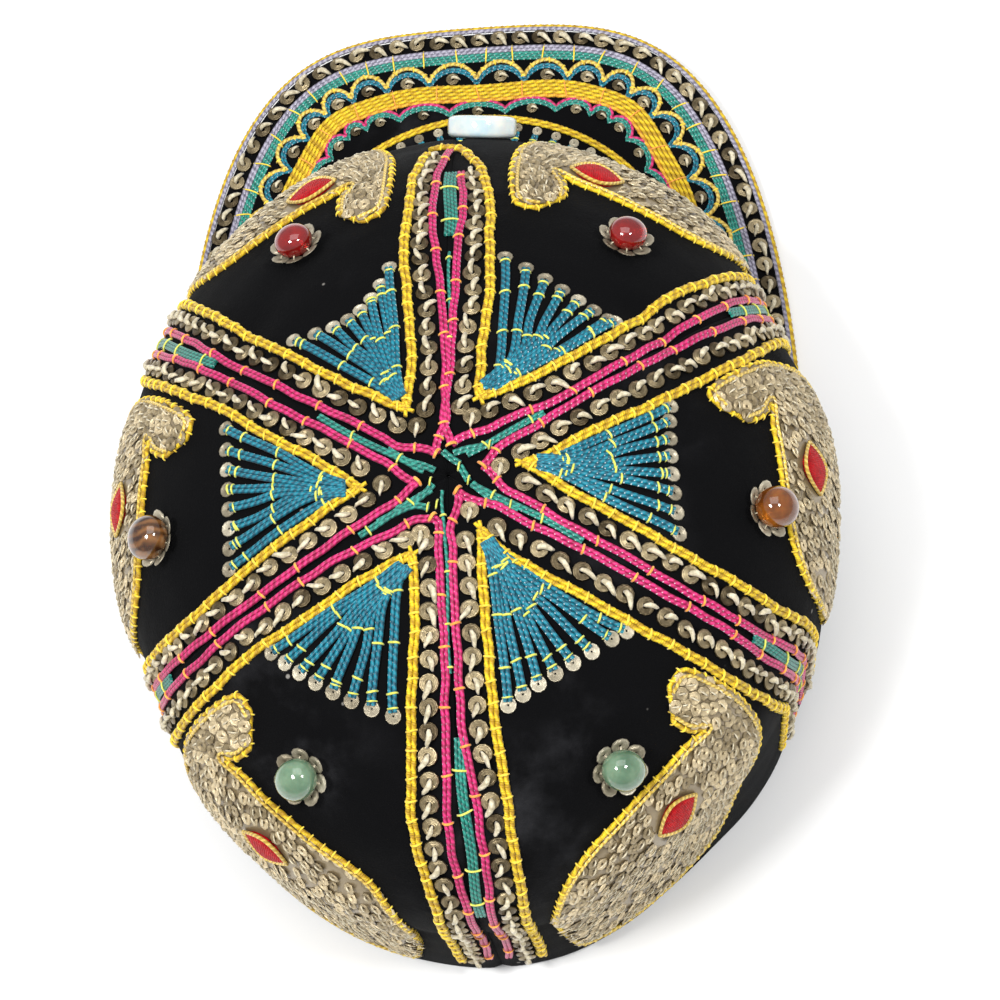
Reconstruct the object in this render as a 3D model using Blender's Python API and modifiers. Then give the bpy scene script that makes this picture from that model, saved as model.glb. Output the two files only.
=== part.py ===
import math

import bmesh
import bpy
import numpy as np
from mathutils import Vector

# Every length is in millimetres, and is turned into metres where a mesh is made.
# A bearing is in degrees, clockwise seen from above, from the middle of the front.
# A fall is a length along the cloth, down from the top of the crown.
MM = 0.001

# The crown: a squared dome on a nearly upright wall
HALF_WIDTH = 86.0
FRONT_LENGTH = 99.5
BACK_LENGTH = 107.0
DOME_HEIGHT = 70.0
WALL_HEIGHT = 42.0
CROWN_HEIGHT = DOME_HEIGHT + WALL_HEIGHT
SQUARENESS = 2.4
TOP_SET_BACK = 21.0
RIM_TAPER = 0.03
CLOTH = 1.6
SEAM_GAP = 0.8
TOP_HOLE = 1.5
PANEL_ROWS = 12
PANEL_COLUMNS = 6

# Hollows where the stitched bands draw the cloth in: each depth is a share of the half-width
DENTS = [
    dict(bearing=60.0, spread=13.0, depth=0.037),
    dict(bearing=240.0, spread=12.0, depth=0.028),
    dict(bearing=20.0, spread=12.0, depth=0.021),
    dict(bearing=122.0, spread=9.0, depth=0.019),
    dict(bearing=150.0, spread=16.0, depth=0.05),
]

# The peak
PEAK_HALF_WIDTH = 79.0
PEAK_REACH = 51.5
PEAK_REAR = -36.0
PEAK_ARCH = 9.0
PEAK_LIFT = 3.0
PEAK_THICKNESS = 2.6
PEAK_START = 4.0
PEAK_ROOT = 56.5
PEAK_COLUMNS = 22
PEAK_ROWS = 5
PEAK_SEAM_GAP = 0.5

# How far sewn-on pieces stay off the cloth, with room for its flat facets
LIFT = 0.6

# The bands along the seams, from the middle outwards; they open and widen near their ends
YELLOW_CORD = 1.15
PINK_CORD = 0.85
PINK_GAP = 1.0
PINK_OPEN_TOP = 1.75
PINK_OPEN_RIM = 1.95
BLACK_GAP = 0.85
ROW_GAP = 0.6
TOP_ROW_GAP = 0.35
BAND_WIDER = 2.3
PINK_CLOSED_FROM = 26.0
PINK_CLOSED_TO = 88.0
BAND_WIDE_FROM = 45.0
BAND_WIDE_TO = 140.0
FRONT_BAND_SHARE = 0.57
RIM_MARGIN = 4.0
CORD_STEP = 10.0

SEQUIN_PITCH = 5.6
SEQUIN_HALF = 2.2
SEQUIN_WAIST = 0.6
SEQUIN_THICKNESS = 1.1

# Rows that follow from those sizes
PINK_ROW = PINK_GAP / 2 + PINK_CORD
BAND_HALF = (PINK_ROW + PINK_CORD + BLACK_GAP + 2 * SEQUIN_HALF + ROW_GAP + YELLOW_CORD)

# Panels, going round from the middle of the front
SEAMS = [0.0, 58.2, 121.7, 180.0, 238.3, 301.8, 360.0]
PANELS = [
    dict(name="front_right", first=0, hook="first"),
    dict(name="side_right", first=1, hook="first"),
    dict(name="back_right", first=2, hook="first"),
    dict(name="back_left", first=3, hook="last"),
    dict(name="side_left", first=4, hook="last"),
    dict(name="front_left", first=5, hook="last"),
]

# Fans of rays inside the point of each panel
FAN_TIP_GAP = 2.2
FAN_END = 53.0
FAN_NOTCH = 3.5
FAN_RAYS = 8
FAN_GAP = 0.85
FAN_THICKNESS = 1.6
FAN_LIFT = 0.8

# Scrolls paved with sequins, from the hook to the tail: each row crosses the scroll from its lower
# edge to its upper edge, as shares of the panel's width and of the crown's height
SCROLL_COLUMNS = 8
SCROLL = [
    dict(lower=(0.285, 0.855), upper=(0.35, 0.815)),
    dict(lower=(0.215, 0.852), upper=(0.335, 0.785)),
    dict(lower=(0.18, 0.8), upper=(0.305, 0.765)),
    dict(lower=(0.17, 0.73), upper=(0.3, 0.757)),
    dict(lower=(0.18, 0.65), upper=(0.315, 0.757)),
    dict(lower=(0.22, 0.55), upper=(0.37, 0.765)),
    dict(lower=(0.3, 0.42), upper=(0.45, 0.762)),
    dict(lower=(0.4, 0.31), upper=(0.54, 0.757)),
    dict(lower=(0.5, 0.24), upper=(0.62, 0.745)),
    dict(lower=(0.6, 0.205), upper=(0.7, 0.725)),
    dict(lower=(0.7, 0.195), upper=(0.765, 0.685)),
    dict(lower=(0.765, 0.205), upper=(0.81, 0.62)),
    dict(lower=(0.81, 0.26), upper=(0.835, 0.53)),
    dict(lower=(0.84, 0.36), upper=(0.848, 0.45)),
]
# The back scrolls come further down: the share of the height that stays, below SCROLL_DROPS_FROM
SCROLL_DROPS_FROM = 0.45
SCROLL_DROP = 0.35
# The front scrolls stop above the peak
SCROLL_FRONT_LOW = 0.29
SCROLL_LIFT = 0.25
SCROLL_THICKNESS = 1.4

# Stone beads on rings of petals: shares of the way down to the rim and of STONE_RADIUS
STONE_RADIUS = 5.0
STONES = [
    dict(name="front_right", bearing=35.0, fall=0.418, radius=0.88, tall=0.72, slot="red_stone"),
    dict(name="front_left", bearing=330.0, fall=0.415, radius=0.88, tall=0.72, slot="red_stone"),
    dict(name="side_right", bearing=99.0, fall=0.441, radius=1.00, tall=0.92, slot="amber_stone"),
    dict(name="side_left", bearing=262.0, fall=0.429, radius=1.04, tall=0.84, slot="brown_stone"),
    dict(name="back_right", bearing=154.0, fall=0.441, radius=0.96, tall=0.84, slot="jade_stone"),
    dict(name="back_left", bearing=207.0, fall=0.430, radius=0.96, tall=0.84, slot="jade_stone"),
]
STONE_GAP = 0.35
PETALS = 8
PETAL_RADIUS = 6.6
PETAL_NOTCH = 1.1
PETAL_THICKNESS = 0.8

# The milky disc on the front of the crown
DISC_BEARING = 3.0
DISC_HEIGHT_SHARE = 0.535
DISC_RADIUS = 8.2
DISC_THICKNESS = 4.6

# Rows on the peak, from its edge inwards
EDGE_CORD = 0.95
EDGE_GAP = 0.4
PEAK_ROW_GAP = 0.55
STRIPE_HALF = 1.9
SCALLOP_DEEP = 2.0
SCALLOP_CORD = 0.8
SCALLOPS = 14
BRAID_HALF = 3.2
INNER_SCALLOP_CORD = 0.7
INNER_SCALLOP_DEEP = 1.2
INNER_SCALLOPS = 11
PEAK_FAN_SPAN = 30.0
PEAK_FAN_BACK = 9.5
PEAK_ROW_CLEAR = 2.2

# How far in each of those rows then lies
PEAK_SEQUINS_IN = EDGE_GAP + SEQUIN_HALF
STRIPE_IN = PEAK_SEQUINS_IN + SEQUIN_HALF + PEAK_ROW_GAP + STRIPE_HALF
SCALLOP_IN = STRIPE_IN + STRIPE_HALF + PEAK_ROW_GAP + SCALLOP_CORD + SCALLOP_DEEP
BRAID_IN = SCALLOP_IN + SCALLOP_DEEP + SCALLOP_CORD + PEAK_ROW_GAP + BRAID_HALF
INNER_SCALLOP_IN = (BRAID_IN + BRAID_HALF + PEAK_ROW_GAP + INNER_SCALLOP_CORD
                    + INNER_SCALLOP_DEEP)
PEAK_FAN_IN = INNER_SCALLOP_IN + INNER_SCALLOP_DEEP + INNER_SCALLOP_CORD + 4 * PEAK_ROW_GAP

COLOURS = {
    "black_velvet": (0.012, 0.012, 0.014, 1.0),
    "yellow_cord": (0.86, 0.62, 0.03, 1.0),
    "pink_cord": (0.72, 0.03, 0.20, 1.0),
    "turquoise_cord": (0.02, 0.33, 0.46, 1.0),
    "green_cord": (0.04, 0.34, 0.27, 1.0),
    "silver_cord": (0.42, 0.42, 0.50, 1.0),
    "champagne_sequin": (0.50, 0.46, 0.36, 1.0),
    "red_stone": (0.30, 0.010, 0.008, 1.0),
    "amber_stone": (0.42, 0.13, 0.015, 1.0),
    "brown_stone": (0.17, 0.07, 0.025, 1.0),
    "jade_stone": (0.28, 0.50, 0.36, 1.0),
    "milky_stone": (0.70, 0.84, 0.86, 1.0),
}
ROUGHNESS = {
    "black_velvet": 0.95,
    "champagne_sequin": 0.3,
    "red_stone": 0.08,
    "amber_stone": 0.08,
    "brown_stone": 0.1,
    "jade_stone": 0.12,
    "milky_stone": 0.15,
}


def startScene():
    for ob in list(bpy.data.objects):
        bpy.data.objects.remove(ob, do_unlink=True)
    hat = bpy.data.collections.new("embroidered_hat")
    bpy.context.scene.collection.children.link(hat)
    return hat


HAT = startScene()


def material(node, slot):
    mat = bpy.data.materials.new(node)
    mat.use_nodes = True
    shader = mat.node_tree.nodes["Principled BSDF"]
    shader.inputs["Base Color"].default_value = COLOURS[slot]
    shader.inputs["Roughness"].default_value = ROUGHNESS.get(slot, 0.6)
    mat.diffuse_color = COLOURS[slot]
    return mat


def addNode(name, mesh, slot):
    ob = bpy.data.objects.new(name, mesh)
    HAT.objects.link(ob)
    mesh.materials.clear()
    mesh.materials.append(material(name, slot))
    return ob


def applyModifiers(ob):
    bpy.context.view_layer.update()
    shaped = bpy.data.meshes.new_from_object(
        ob.evaluated_get(bpy.context.evaluated_depsgraph_get()))
    ob.modifiers.clear()
    ob.data = shaped
    return ob


def smoothStep(value, low, high):
    t = min(max((value - low) / (high - low), 0.0), 1.0)
    return t * t * (3.0 - 2.0 * t)


# The crown's surface

ANGLES = np.linspace(1e-4, math.pi / 2, 160)
DOWN = np.linspace(0.0, 1.0, 30)[1:]
OUTWARD = np.concatenate([np.sin(ANGLES) ** (2 / SQUARENESS), 1.0 - RIM_TAPER * DOWN])
HEIGHTS = np.concatenate([WALL_HEIGHT + DOME_HEIGHT * np.cos(ANGLES) ** (2 / SQUARENESS),
                          WALL_HEIGHT * (1.0 - DOWN)])
SET_BACK = TOP_SET_BACK * np.clip((HEIGHTS - WALL_HEIGHT) / DOME_HEIGHT, 0.0, 1.0)
KNOWN = {}


def crownRadius(bearing):
    t = math.radians(bearing)
    ahead = math.cos(t) > 0
    length = FRONT_LENGTH if ahead else BACK_LENGTH
    return 1.0 / math.hypot(math.sin(t) / HALF_WIDTH, math.cos(t) / length)


def dentDepth(bearing):
    depth = 0.0
    for dent in DENTS:
        away = (bearing - dent["bearing"] + 180.0) % 360.0 - 180.0
        depth += dent["depth"] * HALF_WIDTH * math.exp(-(away / dent["spread"]) ** 2)
    return depth


def meridian(bearing):
    key = round(bearing % 360.0, 3)
    if key not in KNOWN:
        t = math.radians(key)
        radius = crownRadius(key) * OUTWARD - dentDepth(key) * OUTWARD ** 6
        points = np.stack([-math.sin(t) * radius, -math.cos(t) * radius + SET_BACK, HEIGHTS], -1)
        steps = np.linalg.norm(np.diff(points, axis=0), axis=1)
        KNOWN[key] = (points, np.concatenate([[0.0], np.cumsum(steps)]))
    return KNOWN[key]


def crownAt(bearing, fall):
    points, falls = meridian(bearing)
    return Vector([float(np.interp(fall, falls, points[:, k])) for k in range(3)])


def crownNormal(bearing, fall):
    fall = max(fall, 0.8)
    across = crownAt(bearing + 0.5, fall) - crownAt(bearing - 0.5, fall)
    along = crownAt(bearing, fall + 0.4) - crownAt(bearing, fall - 0.4)
    normal = across.cross(along).normalized()
    outward = crownAt(bearing, fall) - Vector((0.0, 0.0, 20.0))
    return normal if normal.dot(outward) > 0 else -normal


def fallAtHeight(bearing, height):
    points, falls = meridian(bearing)
    return float(np.interp(-height, -points[:, 2], falls))


def peakTop(x):
    return PEAK_LIFT + PEAK_ARCH * (1.0 - min(abs(x) / PEAK_HALF_WIDTH, 1.0) ** 2)


def rimHeight(bearing):
    away = abs((bearing + 180.0) % 360.0 - 180.0)
    foot = meridian(bearing)[0][-1]
    if away <= SEAMS[1] + 0.5:
        return peakTop(foot[0]) + PEAK_SEAM_GAP
    edge = meridian(SEAMS[1])[0][-1]
    return (peakTop(edge[0]) + PEAK_SEAM_GAP) * (1.0 - smoothStep(away, SEAMS[1], SEAMS[1] + 9.0))


def rimFall(bearing):
    return fallAtHeight(bearing, rimHeight(bearing))


def onBand(seam, fall, across):
    """Bearing and fall of a place beside a seam."""
    reach = (crownAt(seam + 1.0, fall) - crownAt(seam - 1.0, fall)).length / math.radians(2.0)
    turn = math.atan2(across, fall) * fall / max(reach, 1e-3)
    return seam + math.degrees(turn), math.hypot(fall, across) if fall < 60.0 else fall


def lifted(bearing, fall, lift):
    return crownAt(bearing, fall) + crownNormal(bearing, fall) * lift


# Builders

def gridMesh(name, rows):
    bm = bmesh.new()
    verts = [[bm.verts.new(p * MM) for p in row] for row in rows]
    for upper, lower in zip(verts, verts[1:]):
        for k in range(len(upper) - 1):
            bm.faces.new((upper[k], upper[k + 1], lower[k + 1], lower[k]))
    bmesh.ops.recalc_face_normals(bm, faces=bm.faces)
    mesh = bpy.data.meshes.new(name)
    bm.to_mesh(mesh)
    bm.free()
    return mesh


def sheetNode(name, rows, slot, thickness, outward):
    """A cloth or plate with its top face on the rows given."""
    mesh = gridMesh(name, rows)
    face = mesh.polygons[len(mesh.polygons) // 2]
    if face.normal.dot(outward) < 0:
        mesh.flip_normals()
    ob = addNode(name, mesh, slot)
    solid = ob.modifiers.new("thickness", "SOLIDIFY")
    solid.thickness = thickness * MM
    solid.offset = -1.0
    solid.use_even_offset = True
    solid.use_rim = True
    return applyModifiers(ob)


def cordNode(name, places, slot, radius, sides=0):
    """A cord of round section through the places given."""
    curve = bpy.data.curves.new(name, "CURVE")
    curve.dimensions = "3D"
    curve.bevel_depth = radius * MM
    curve.bevel_resolution = sides
    curve.use_fill_caps = True
    spline = curve.splines.new("POLY")
    spline.points.add(len(places) - 1)
    for point, place in zip(spline.points, places):
        point.co = (place.x * MM, place.y * MM, place.z * MM, 1.0)
    ob = bpy.data.objects.new(name + "_path", curve)
    HAT.objects.link(ob)
    bpy.context.view_layer.update()
    mesh = bpy.data.meshes.new_from_object(
        ob.evaluated_get(bpy.context.evaluated_depsgraph_get()))
    bpy.data.objects.remove(ob, do_unlink=True)
    return addNode(name, mesh, slot)


def ribbonNode(name, places, normals, halves, slot, thickness, ridged=False):
    """A flat or ridged strip: one place, normal and half-width at each station."""
    bm = bmesh.new()
    rings = []
    last = len(places) - 1
    for k, (place, normal) in enumerate(zip(places, normals)):
        ahead = (places[min(k + 1, last)] - places[max(k - 1, 0)]).normalized()
        side = normal.cross(ahead).normalized()
        corners = [place + side * halves[k], place - side * halves[k]]
        if ridged:
            corners.append(place + normal * thickness)
        else:
            corners += [corners[1] + normal * thickness, corners[0] + normal * thickness]
        rings.append([bm.verts.new(c * MM) for c in corners])
    for near, far in zip(rings, rings[1:]):
        count = len(near)
        for k in range(count):
            bm.faces.new((near[k], near[(k + 1) % count], far[(k + 1) % count], far[k]))
    bm.faces.new(rings[0])
    bm.faces.new(rings[-1])
    bmesh.ops.recalc_face_normals(bm, faces=bm.faces)
    mesh = bpy.data.meshes.new(name)
    bm.to_mesh(mesh)
    bm.free()
    return addNode(name, mesh, slot)


def resample(places, step):
    """Bearing and fall pairs, evenly spaced along the cloth."""
    points = [crownAt(*p) for p in places]
    lengths = [0.0]
    for a, b in zip(points, points[1:]):
        lengths.append(lengths[-1] + (b - a).length)
    count = max(int(round(lengths[-1] / step)), 1)
    wanted = np.linspace(0.0, lengths[-1], count + 1)
    bearings = np.interp(wanted, lengths, [p[0] for p in places])
    falls = np.interp(wanted, lengths, [p[1] for p in places])
    return list(zip(bearings.tolist(), falls.tolist()))


# Crown panels

def crownPanel(panel):
    first, last = SEAMS[panel["first"]], SEAMS[panel["first"] + 1]
    rows = []
    for i in range(PANEL_ROWS + 1):
        row = []
        for j in range(PANEL_COLUMNS + 1):
            share = j / PANEL_COLUMNS
            bearing = first + (last - first) * share
            fall = TOP_HOLE + (rimFall(bearing) - TOP_HOLE) * i / PANEL_ROWS
            if j == 0:
                bearing = onBand(first, fall, SEAM_GAP / 2)[0]
            if j == PANEL_COLUMNS:
                bearing = onBand(last, fall, -SEAM_GAP / 2)[0]
            row.append(crownAt(bearing, fall))
        rows.append(row)
    middle = rows[PANEL_ROWS // 2][PANEL_COLUMNS // 2]
    ob = sheetNode("crown_" + panel["name"], rows, "black_velvet", CLOTH,
                   Vector((middle.x, middle.y, 30.0)))
    for vertex in ob.data.vertices:
        if vertex.co.z < 0.4 * MM:
            vertex.co.z = 0.0
    return ob


# Bands along the seams

def bandHalf(fall):
    return BAND_HALF + BAND_WIDER * smoothStep(fall, BAND_WIDE_FROM, BAND_WIDE_TO)


def sequinHalf(fall):
    beside_yellow = bandHalf(fall) - YELLOW_CORD - ROW_GAP - SEQUIN_HALF
    beside_pink = PINK_ROW + PINK_OPEN_TOP + PINK_CORD + TOP_ROW_GAP + SEQUIN_HALF
    return beside_pink + (beside_yellow - beside_pink) * smoothStep(fall, 8.0, PINK_CLOSED_FROM - 6.0)


def pinkHalf(fall):
    opened = PINK_OPEN_TOP * (1.0 - smoothStep(fall, 6.0, PINK_CLOSED_FROM))
    return PINK_ROW + opened + PINK_OPEN_RIM * smoothStep(fall, PINK_CLOSED_TO, 120.0)


def bandEnd(seam, half):
    """Falls down one side of a band, and how its end closes."""
    if seam % 360.0 == 0.0:
        stop = FRONT_BAND_SHARE * float(meridian(0.0)[1][-1])
        return stop - (BAND_HALF - half), True
    return rimFall(seam) - RIM_MARGIN, False


def vPath(panel, width):
    """Down one side of a panel's point, from a rim to the tip and back to the other rim."""
    first, last = SEAMS[panel["first"]], SEAMS[panel["first"] + 1]
    start = width(0.0) / math.sin(math.radians((last - first) / 2))
    sides = []
    for seam, sign in ((first, 1.0), (last, -1.0)):
        end, rounded = bandEnd(seam, width(60.0))
        falls = np.linspace(start * math.cos(math.radians((last - first) / 2)) + 1.5, end, 40)
        side = []
        for fall in falls:
            across = width(fall)
            if rounded:
                spare = end - fall
                if spare < across:
                    across = math.sqrt(max(across ** 2 - (across - spare) ** 2, 0.0))
                across = max(across, YELLOW_CORD + 0.4)
            side.append(onBand(seam, float(fall), sign * across))
        sides.append(side)
    tip = ((first + last) / 2, start)
    return sides[0][::-1] + [tip], [tip] + sides[1]


def bands(panel):
    for what, width, radius, slot in (("edge_cord", bandHalf, YELLOW_CORD, "yellow_cord"),
                                      ("pink_cord", pinkHalf, PINK_CORD, "pink_cord")):
        down, back = vPath(panel, width)
        path = resample(down, CORD_STEP) + resample(back, CORD_STEP)[1:]
        cordNode(what + "_" + panel["name"], [lifted(*p, LIFT + radius) for p in path],
                 slot, radius)
    down, back = vPath(panel, sequinHalf)
    path = resample(down + back[1:], SEQUIN_PITCH / 2)
    if len(path) % 2 == 0:
        path = path[:-1]
    halves = [SEQUIN_HALF if k % 2 else SEQUIN_WAIST for k in range(len(path))]
    ribbonNode("sequin_row_" + panel["name"], [lifted(*p, LIFT) for p in path],
               [crownNormal(*p) for p in path], halves, "champagne_sequin", SEQUIN_THICKNESS, True)


# Fans

def fan(panel):
    first, last = SEAMS[panel["first"]], SEAMS[panel["first"] + 1]
    count = 2 * FAN_RAYS
    margin = bandHalf(FAN_END) + YELLOW_CORD + FAN_GAP
    start = margin / math.sin(math.radians((last - first) / 2)) + FAN_TIP_GAP
    rows = []
    for share in (0.0, 0.5, 1.0):
        row = []
        for k in range(count + 1):
            end = FAN_END if k % 2 else FAN_END - FAN_NOTCH
            fall = start + (end - start) * share
            along = math.sqrt(fall ** 2 - margin ** 2)
            low = onBand(first, along, margin)[0]
            high = onBand(last, along, -margin)[0]
            bearing = low + (high - low) * k / count
            row.append(lifted(bearing, fall, FAN_LIFT + FAN_THICKNESS))
        rows.append(row)
    sheetNode("fan_" + panel["name"], rows, "turquoise_cord", FAN_THICKNESS,
              crownNormal((first + last) / 2, FAN_END))


# Scrolls

def scrollPlace(panel, part, height):
    first, last = SEAMS[panel["first"]], SEAMS[panel["first"] + 1]
    share = part if panel["hook"] == "first" else 1.0 - part
    bearing = first + (last - first) * share
    if "front" in panel["name"]:
        height = max(height, SCROLL_FRONT_LOW)
    if "back" in panel["name"] and height < SCROLL_DROPS_FROM:
        height *= 1.0 - (1.0 - SCROLL_DROP) * smoothStep(SCROLL_DROPS_FROM - height, 0.0, 0.2)
    return bearing, fallAtHeight(bearing, height * CROWN_HEIGHT)


def scroll(panel):
    rows = []
    crossings = []
    for near, far in zip(SCROLL, SCROLL[1:]):
        ends = [(near[k], far[k]) for k in ("lower", "upper")]
        crossings.append([a for a, b in ends])
        crossings.append([((a[0] + b[0]) / 2, (a[1] + b[1]) / 2) for a, b in ends])
    crossings.append([SCROLL[-1]["lower"], SCROLL[-1]["upper"]])
    for lower, upper in crossings:
        low, high = scrollPlace(panel, *lower), scrollPlace(panel, *upper)
        line = []
        for k in range(SCROLL_COLUMNS + 1):
            share = k / SCROLL_COLUMNS
            bearing = low[0] + (high[0] - low[0]) * share
            fall = low[1] + (high[1] - low[1]) * share
            line.append(lifted(bearing, fall, LIFT + SCROLL_LIFT + SCROLL_THICKNESS))
        rows.append(line)
    middle = len(SCROLL) // 2
    outward = crownNormal(*scrollPlace(panel, *SCROLL[middle]["upper"]))
    sheetNode("scroll_" + panel["name"], rows, "champagne_sequin", SCROLL_THICKNESS, outward)


# Stones

def turned(normal):
    return normal.to_track_quat("Z", "Y").to_matrix().to_4x4()


def stone(row):
    fall = row["fall"] * float(meridian(row["bearing"])[1][-1])
    radius, tall = row["radius"] * STONE_RADIUS, row["tall"] * STONE_RADIUS
    normal = crownNormal(row["bearing"], fall)
    base = crownAt(row["bearing"], fall) + normal * LIFT

    mesh = bpy.data.meshes.new("petals_" + row["name"])
    bm = bmesh.new()
    ring = []
    for k in range(2 * PETALS):
        reach = (PETAL_RADIUS if k % 2 else PETAL_RADIUS - PETAL_NOTCH) * MM
        angle = math.pi * k / PETALS
        ring.append(bm.verts.new((reach * math.cos(angle), reach * math.sin(angle), 0.0)))
    face = bm.faces.new(ring)
    grown = bmesh.ops.extrude_face_region(bm, geom=[face])["geom"]
    bmesh.ops.translate(bm, vec=(0.0, 0.0, PETAL_THICKNESS * MM),
                        verts=[g for g in grown if isinstance(g, bmesh.types.BMVert)])
    bmesh.ops.recalc_face_normals(bm, faces=bm.faces)
    bm.transform(turned(normal))
    bmesh.ops.translate(bm, vec=base * MM, verts=bm.verts)
    bm.to_mesh(mesh)
    bm.free()
    addNode("petals_" + row["name"], mesh, "champagne_sequin")

    mesh = bpy.data.meshes.new("stone_" + row["name"])
    bm = bmesh.new()
    bmesh.ops.create_uvsphere(bm, u_segments=12, v_segments=7, radius=radius * MM)
    bmesh.ops.scale(bm, vec=(1.0, 1.0, tall / radius), verts=bm.verts)
    bm.transform(turned(normal))
    up = PETAL_THICKNESS + STONE_GAP + tall
    bmesh.ops.translate(bm, vec=(base + normal * up) * MM, verts=bm.verts)
    bm.to_mesh(mesh)
    bm.free()
    addNode("stone_" + row["name"], mesh, row["slot"])


def frontDisc():
    fall = fallAtHeight(DISC_BEARING, DISC_HEIGHT_SHARE * CROWN_HEIGHT)
    normal = crownNormal(DISC_BEARING, fall)
    base = crownAt(DISC_BEARING, fall) + normal * (LIFT - 0.1 + DISC_THICKNESS / 2)
    mesh = bpy.data.meshes.new("front_disc")
    bm = bmesh.new()
    bmesh.ops.create_cone(bm, cap_ends=True, segments=20, radius1=DISC_RADIUS * MM,
                          radius2=DISC_RADIUS * MM, depth=DISC_THICKNESS * MM)
    bm.transform(turned(normal))
    bmesh.ops.translate(bm, vec=base * MM, verts=bm.verts)
    bm.to_mesh(mesh)
    bm.free()
    ob = addNode("front_disc", mesh, "milky_stone")
    bevel = ob.modifiers.new("round_edge", "BEVEL")
    bevel.width = 1.1 * MM
    bevel.segments = 2
    bevel.limit_method = "ANGLE"
    bevel.angle_limit = math.radians(60)
    return applyModifiers(ob)


# The peak

def peakOutline(turn):
    """The edge at a turn of 0 to 180 degrees, from the wearer's left to the right."""
    t = math.radians(turn)
    side = math.copysign(math.sqrt(abs(math.cos(t))), math.cos(t))
    front = FRONT_LENGTH + PEAK_REACH
    return Vector((PEAK_HALF_WIDTH * side, PEAK_REAR - (front + PEAK_REAR) * math.sin(t), 0.0))


def edgeTable():
    turns = np.linspace(PEAK_START, 180.0 - PEAK_START, 400)
    points = np.array([peakOutline(t)[:2] for t in turns])
    steps = np.linalg.norm(np.diff(points, axis=0), axis=1)
    lengths = np.concatenate([[0.0], np.cumsum(steps)])
    return turns, points, lengths / lengths[-1], lengths[-1]


EDGE_TURNS, EDGE_POINTS, EDGE_SHARES, EDGE_LENGTH = edgeTable()


def onPeak(share, inset, lift):
    """A place at a share of the edge's length, a distance in from the edge."""
    near = [float(np.interp(share, EDGE_SHARES, EDGE_POINTS[:, k])) for k in range(2)]
    low, high = max(share - 0.012, 0.0), min(share + 0.012, 1.0)
    tangent = Vector([float(np.interp(high, EDGE_SHARES, EDGE_POINTS[:, k])
                            - np.interp(low, EDGE_SHARES, EDGE_POINTS[:, k]))
                      for k in range(2)]).normalized()
    inward = Vector((tangent.y, -tangent.x))
    if inward.dot(Vector((-near[0], -near[1] - 60.0))) < 0:
        inward = -inward
    x, y = near[0] + inward.x * inset, near[1] + inward.y * inset
    return Vector((x, y, peakTop(x) + lift))


def peakNormal(place):
    slope = -2.0 * PEAK_ARCH * place.x / PEAK_HALF_WIDTH ** 2
    return Vector((-slope, 0.0, 1.0)).normalized()


def peak():
    rows = []
    for i in range(PEAK_ROWS + 1):
        row = []
        for j in range(PEAK_COLUMNS + 1):
            turn = PEAK_START + (180.0 - 2 * PEAK_START) * j / PEAK_COLUMNS
            outer = peakOutline(turn)
            bearing = -PEAK_ROOT + 2 * PEAK_ROOT * j / PEAK_COLUMNS
            foot = meridian(bearing)[0][-1]
            inner = Vector((foot[0], foot[1], 0.0)) * (1.0 - CLOTH / 2 / crownRadius(bearing))
            place = inner.lerp(outer, i / PEAK_ROWS)
            place.z = peakTop(place.x)
            row.append(place)
        rows.append(row)
    sheetNode("peak", rows, "black_velvet", PEAK_THICKNESS, Vector((0.0, 0.0, 1.0)))


def peakCord(name, slot, radius, inset, lift, start, end, step, sides=0, wave=None):
    count = int(round((end - start) * EDGE_LENGTH / step))
    places = []
    for k in range(count + 1):
        share = start + (end - start) * k / count
        shift = wave(k / count) if wave else 0.0
        places.append(onPeak(share, inset + shift, lift))
    cordNode(name, places, slot, radius, sides)


def peakStrip(name, slot, half, inset, start, end, step, thickness, waist=None):
    count = int(round((end - start) * EDGE_LENGTH / step))
    count += count % 2
    places = [onPeak(start + (end - start) * k / count, inset, LIFT) for k in range(count + 1)]
    halves = [half if waist is None or k % 2 else waist for k in range(count + 1)]
    ribbonNode(name, places, [peakNormal(p) for p in places], halves, slot, thickness,
               waist is not None)


def outsideCrown(place):
    """How far a place on the peak stands clear of the crown's wall."""
    bearing = math.degrees(math.atan2(-place.x, -place.y))
    wall = crownAt(bearing, fallAtHeight(bearing, place.z))
    return place.xy.length - wall.xy.length


def rowEnds(inset, half):
    """The shares of the edge between which a row lies clear of the crown on both sides."""
    for share in np.linspace(0.0, 0.5, 401):
        ends = [onPeak(end, inset + half, LIFT) for end in (share, 1.0 - share)]
        if min(outsideCrown(place) for place in ends) > PEAK_ROW_CLEAR:
            break
    return float(share), float(1.0 - share)


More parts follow.
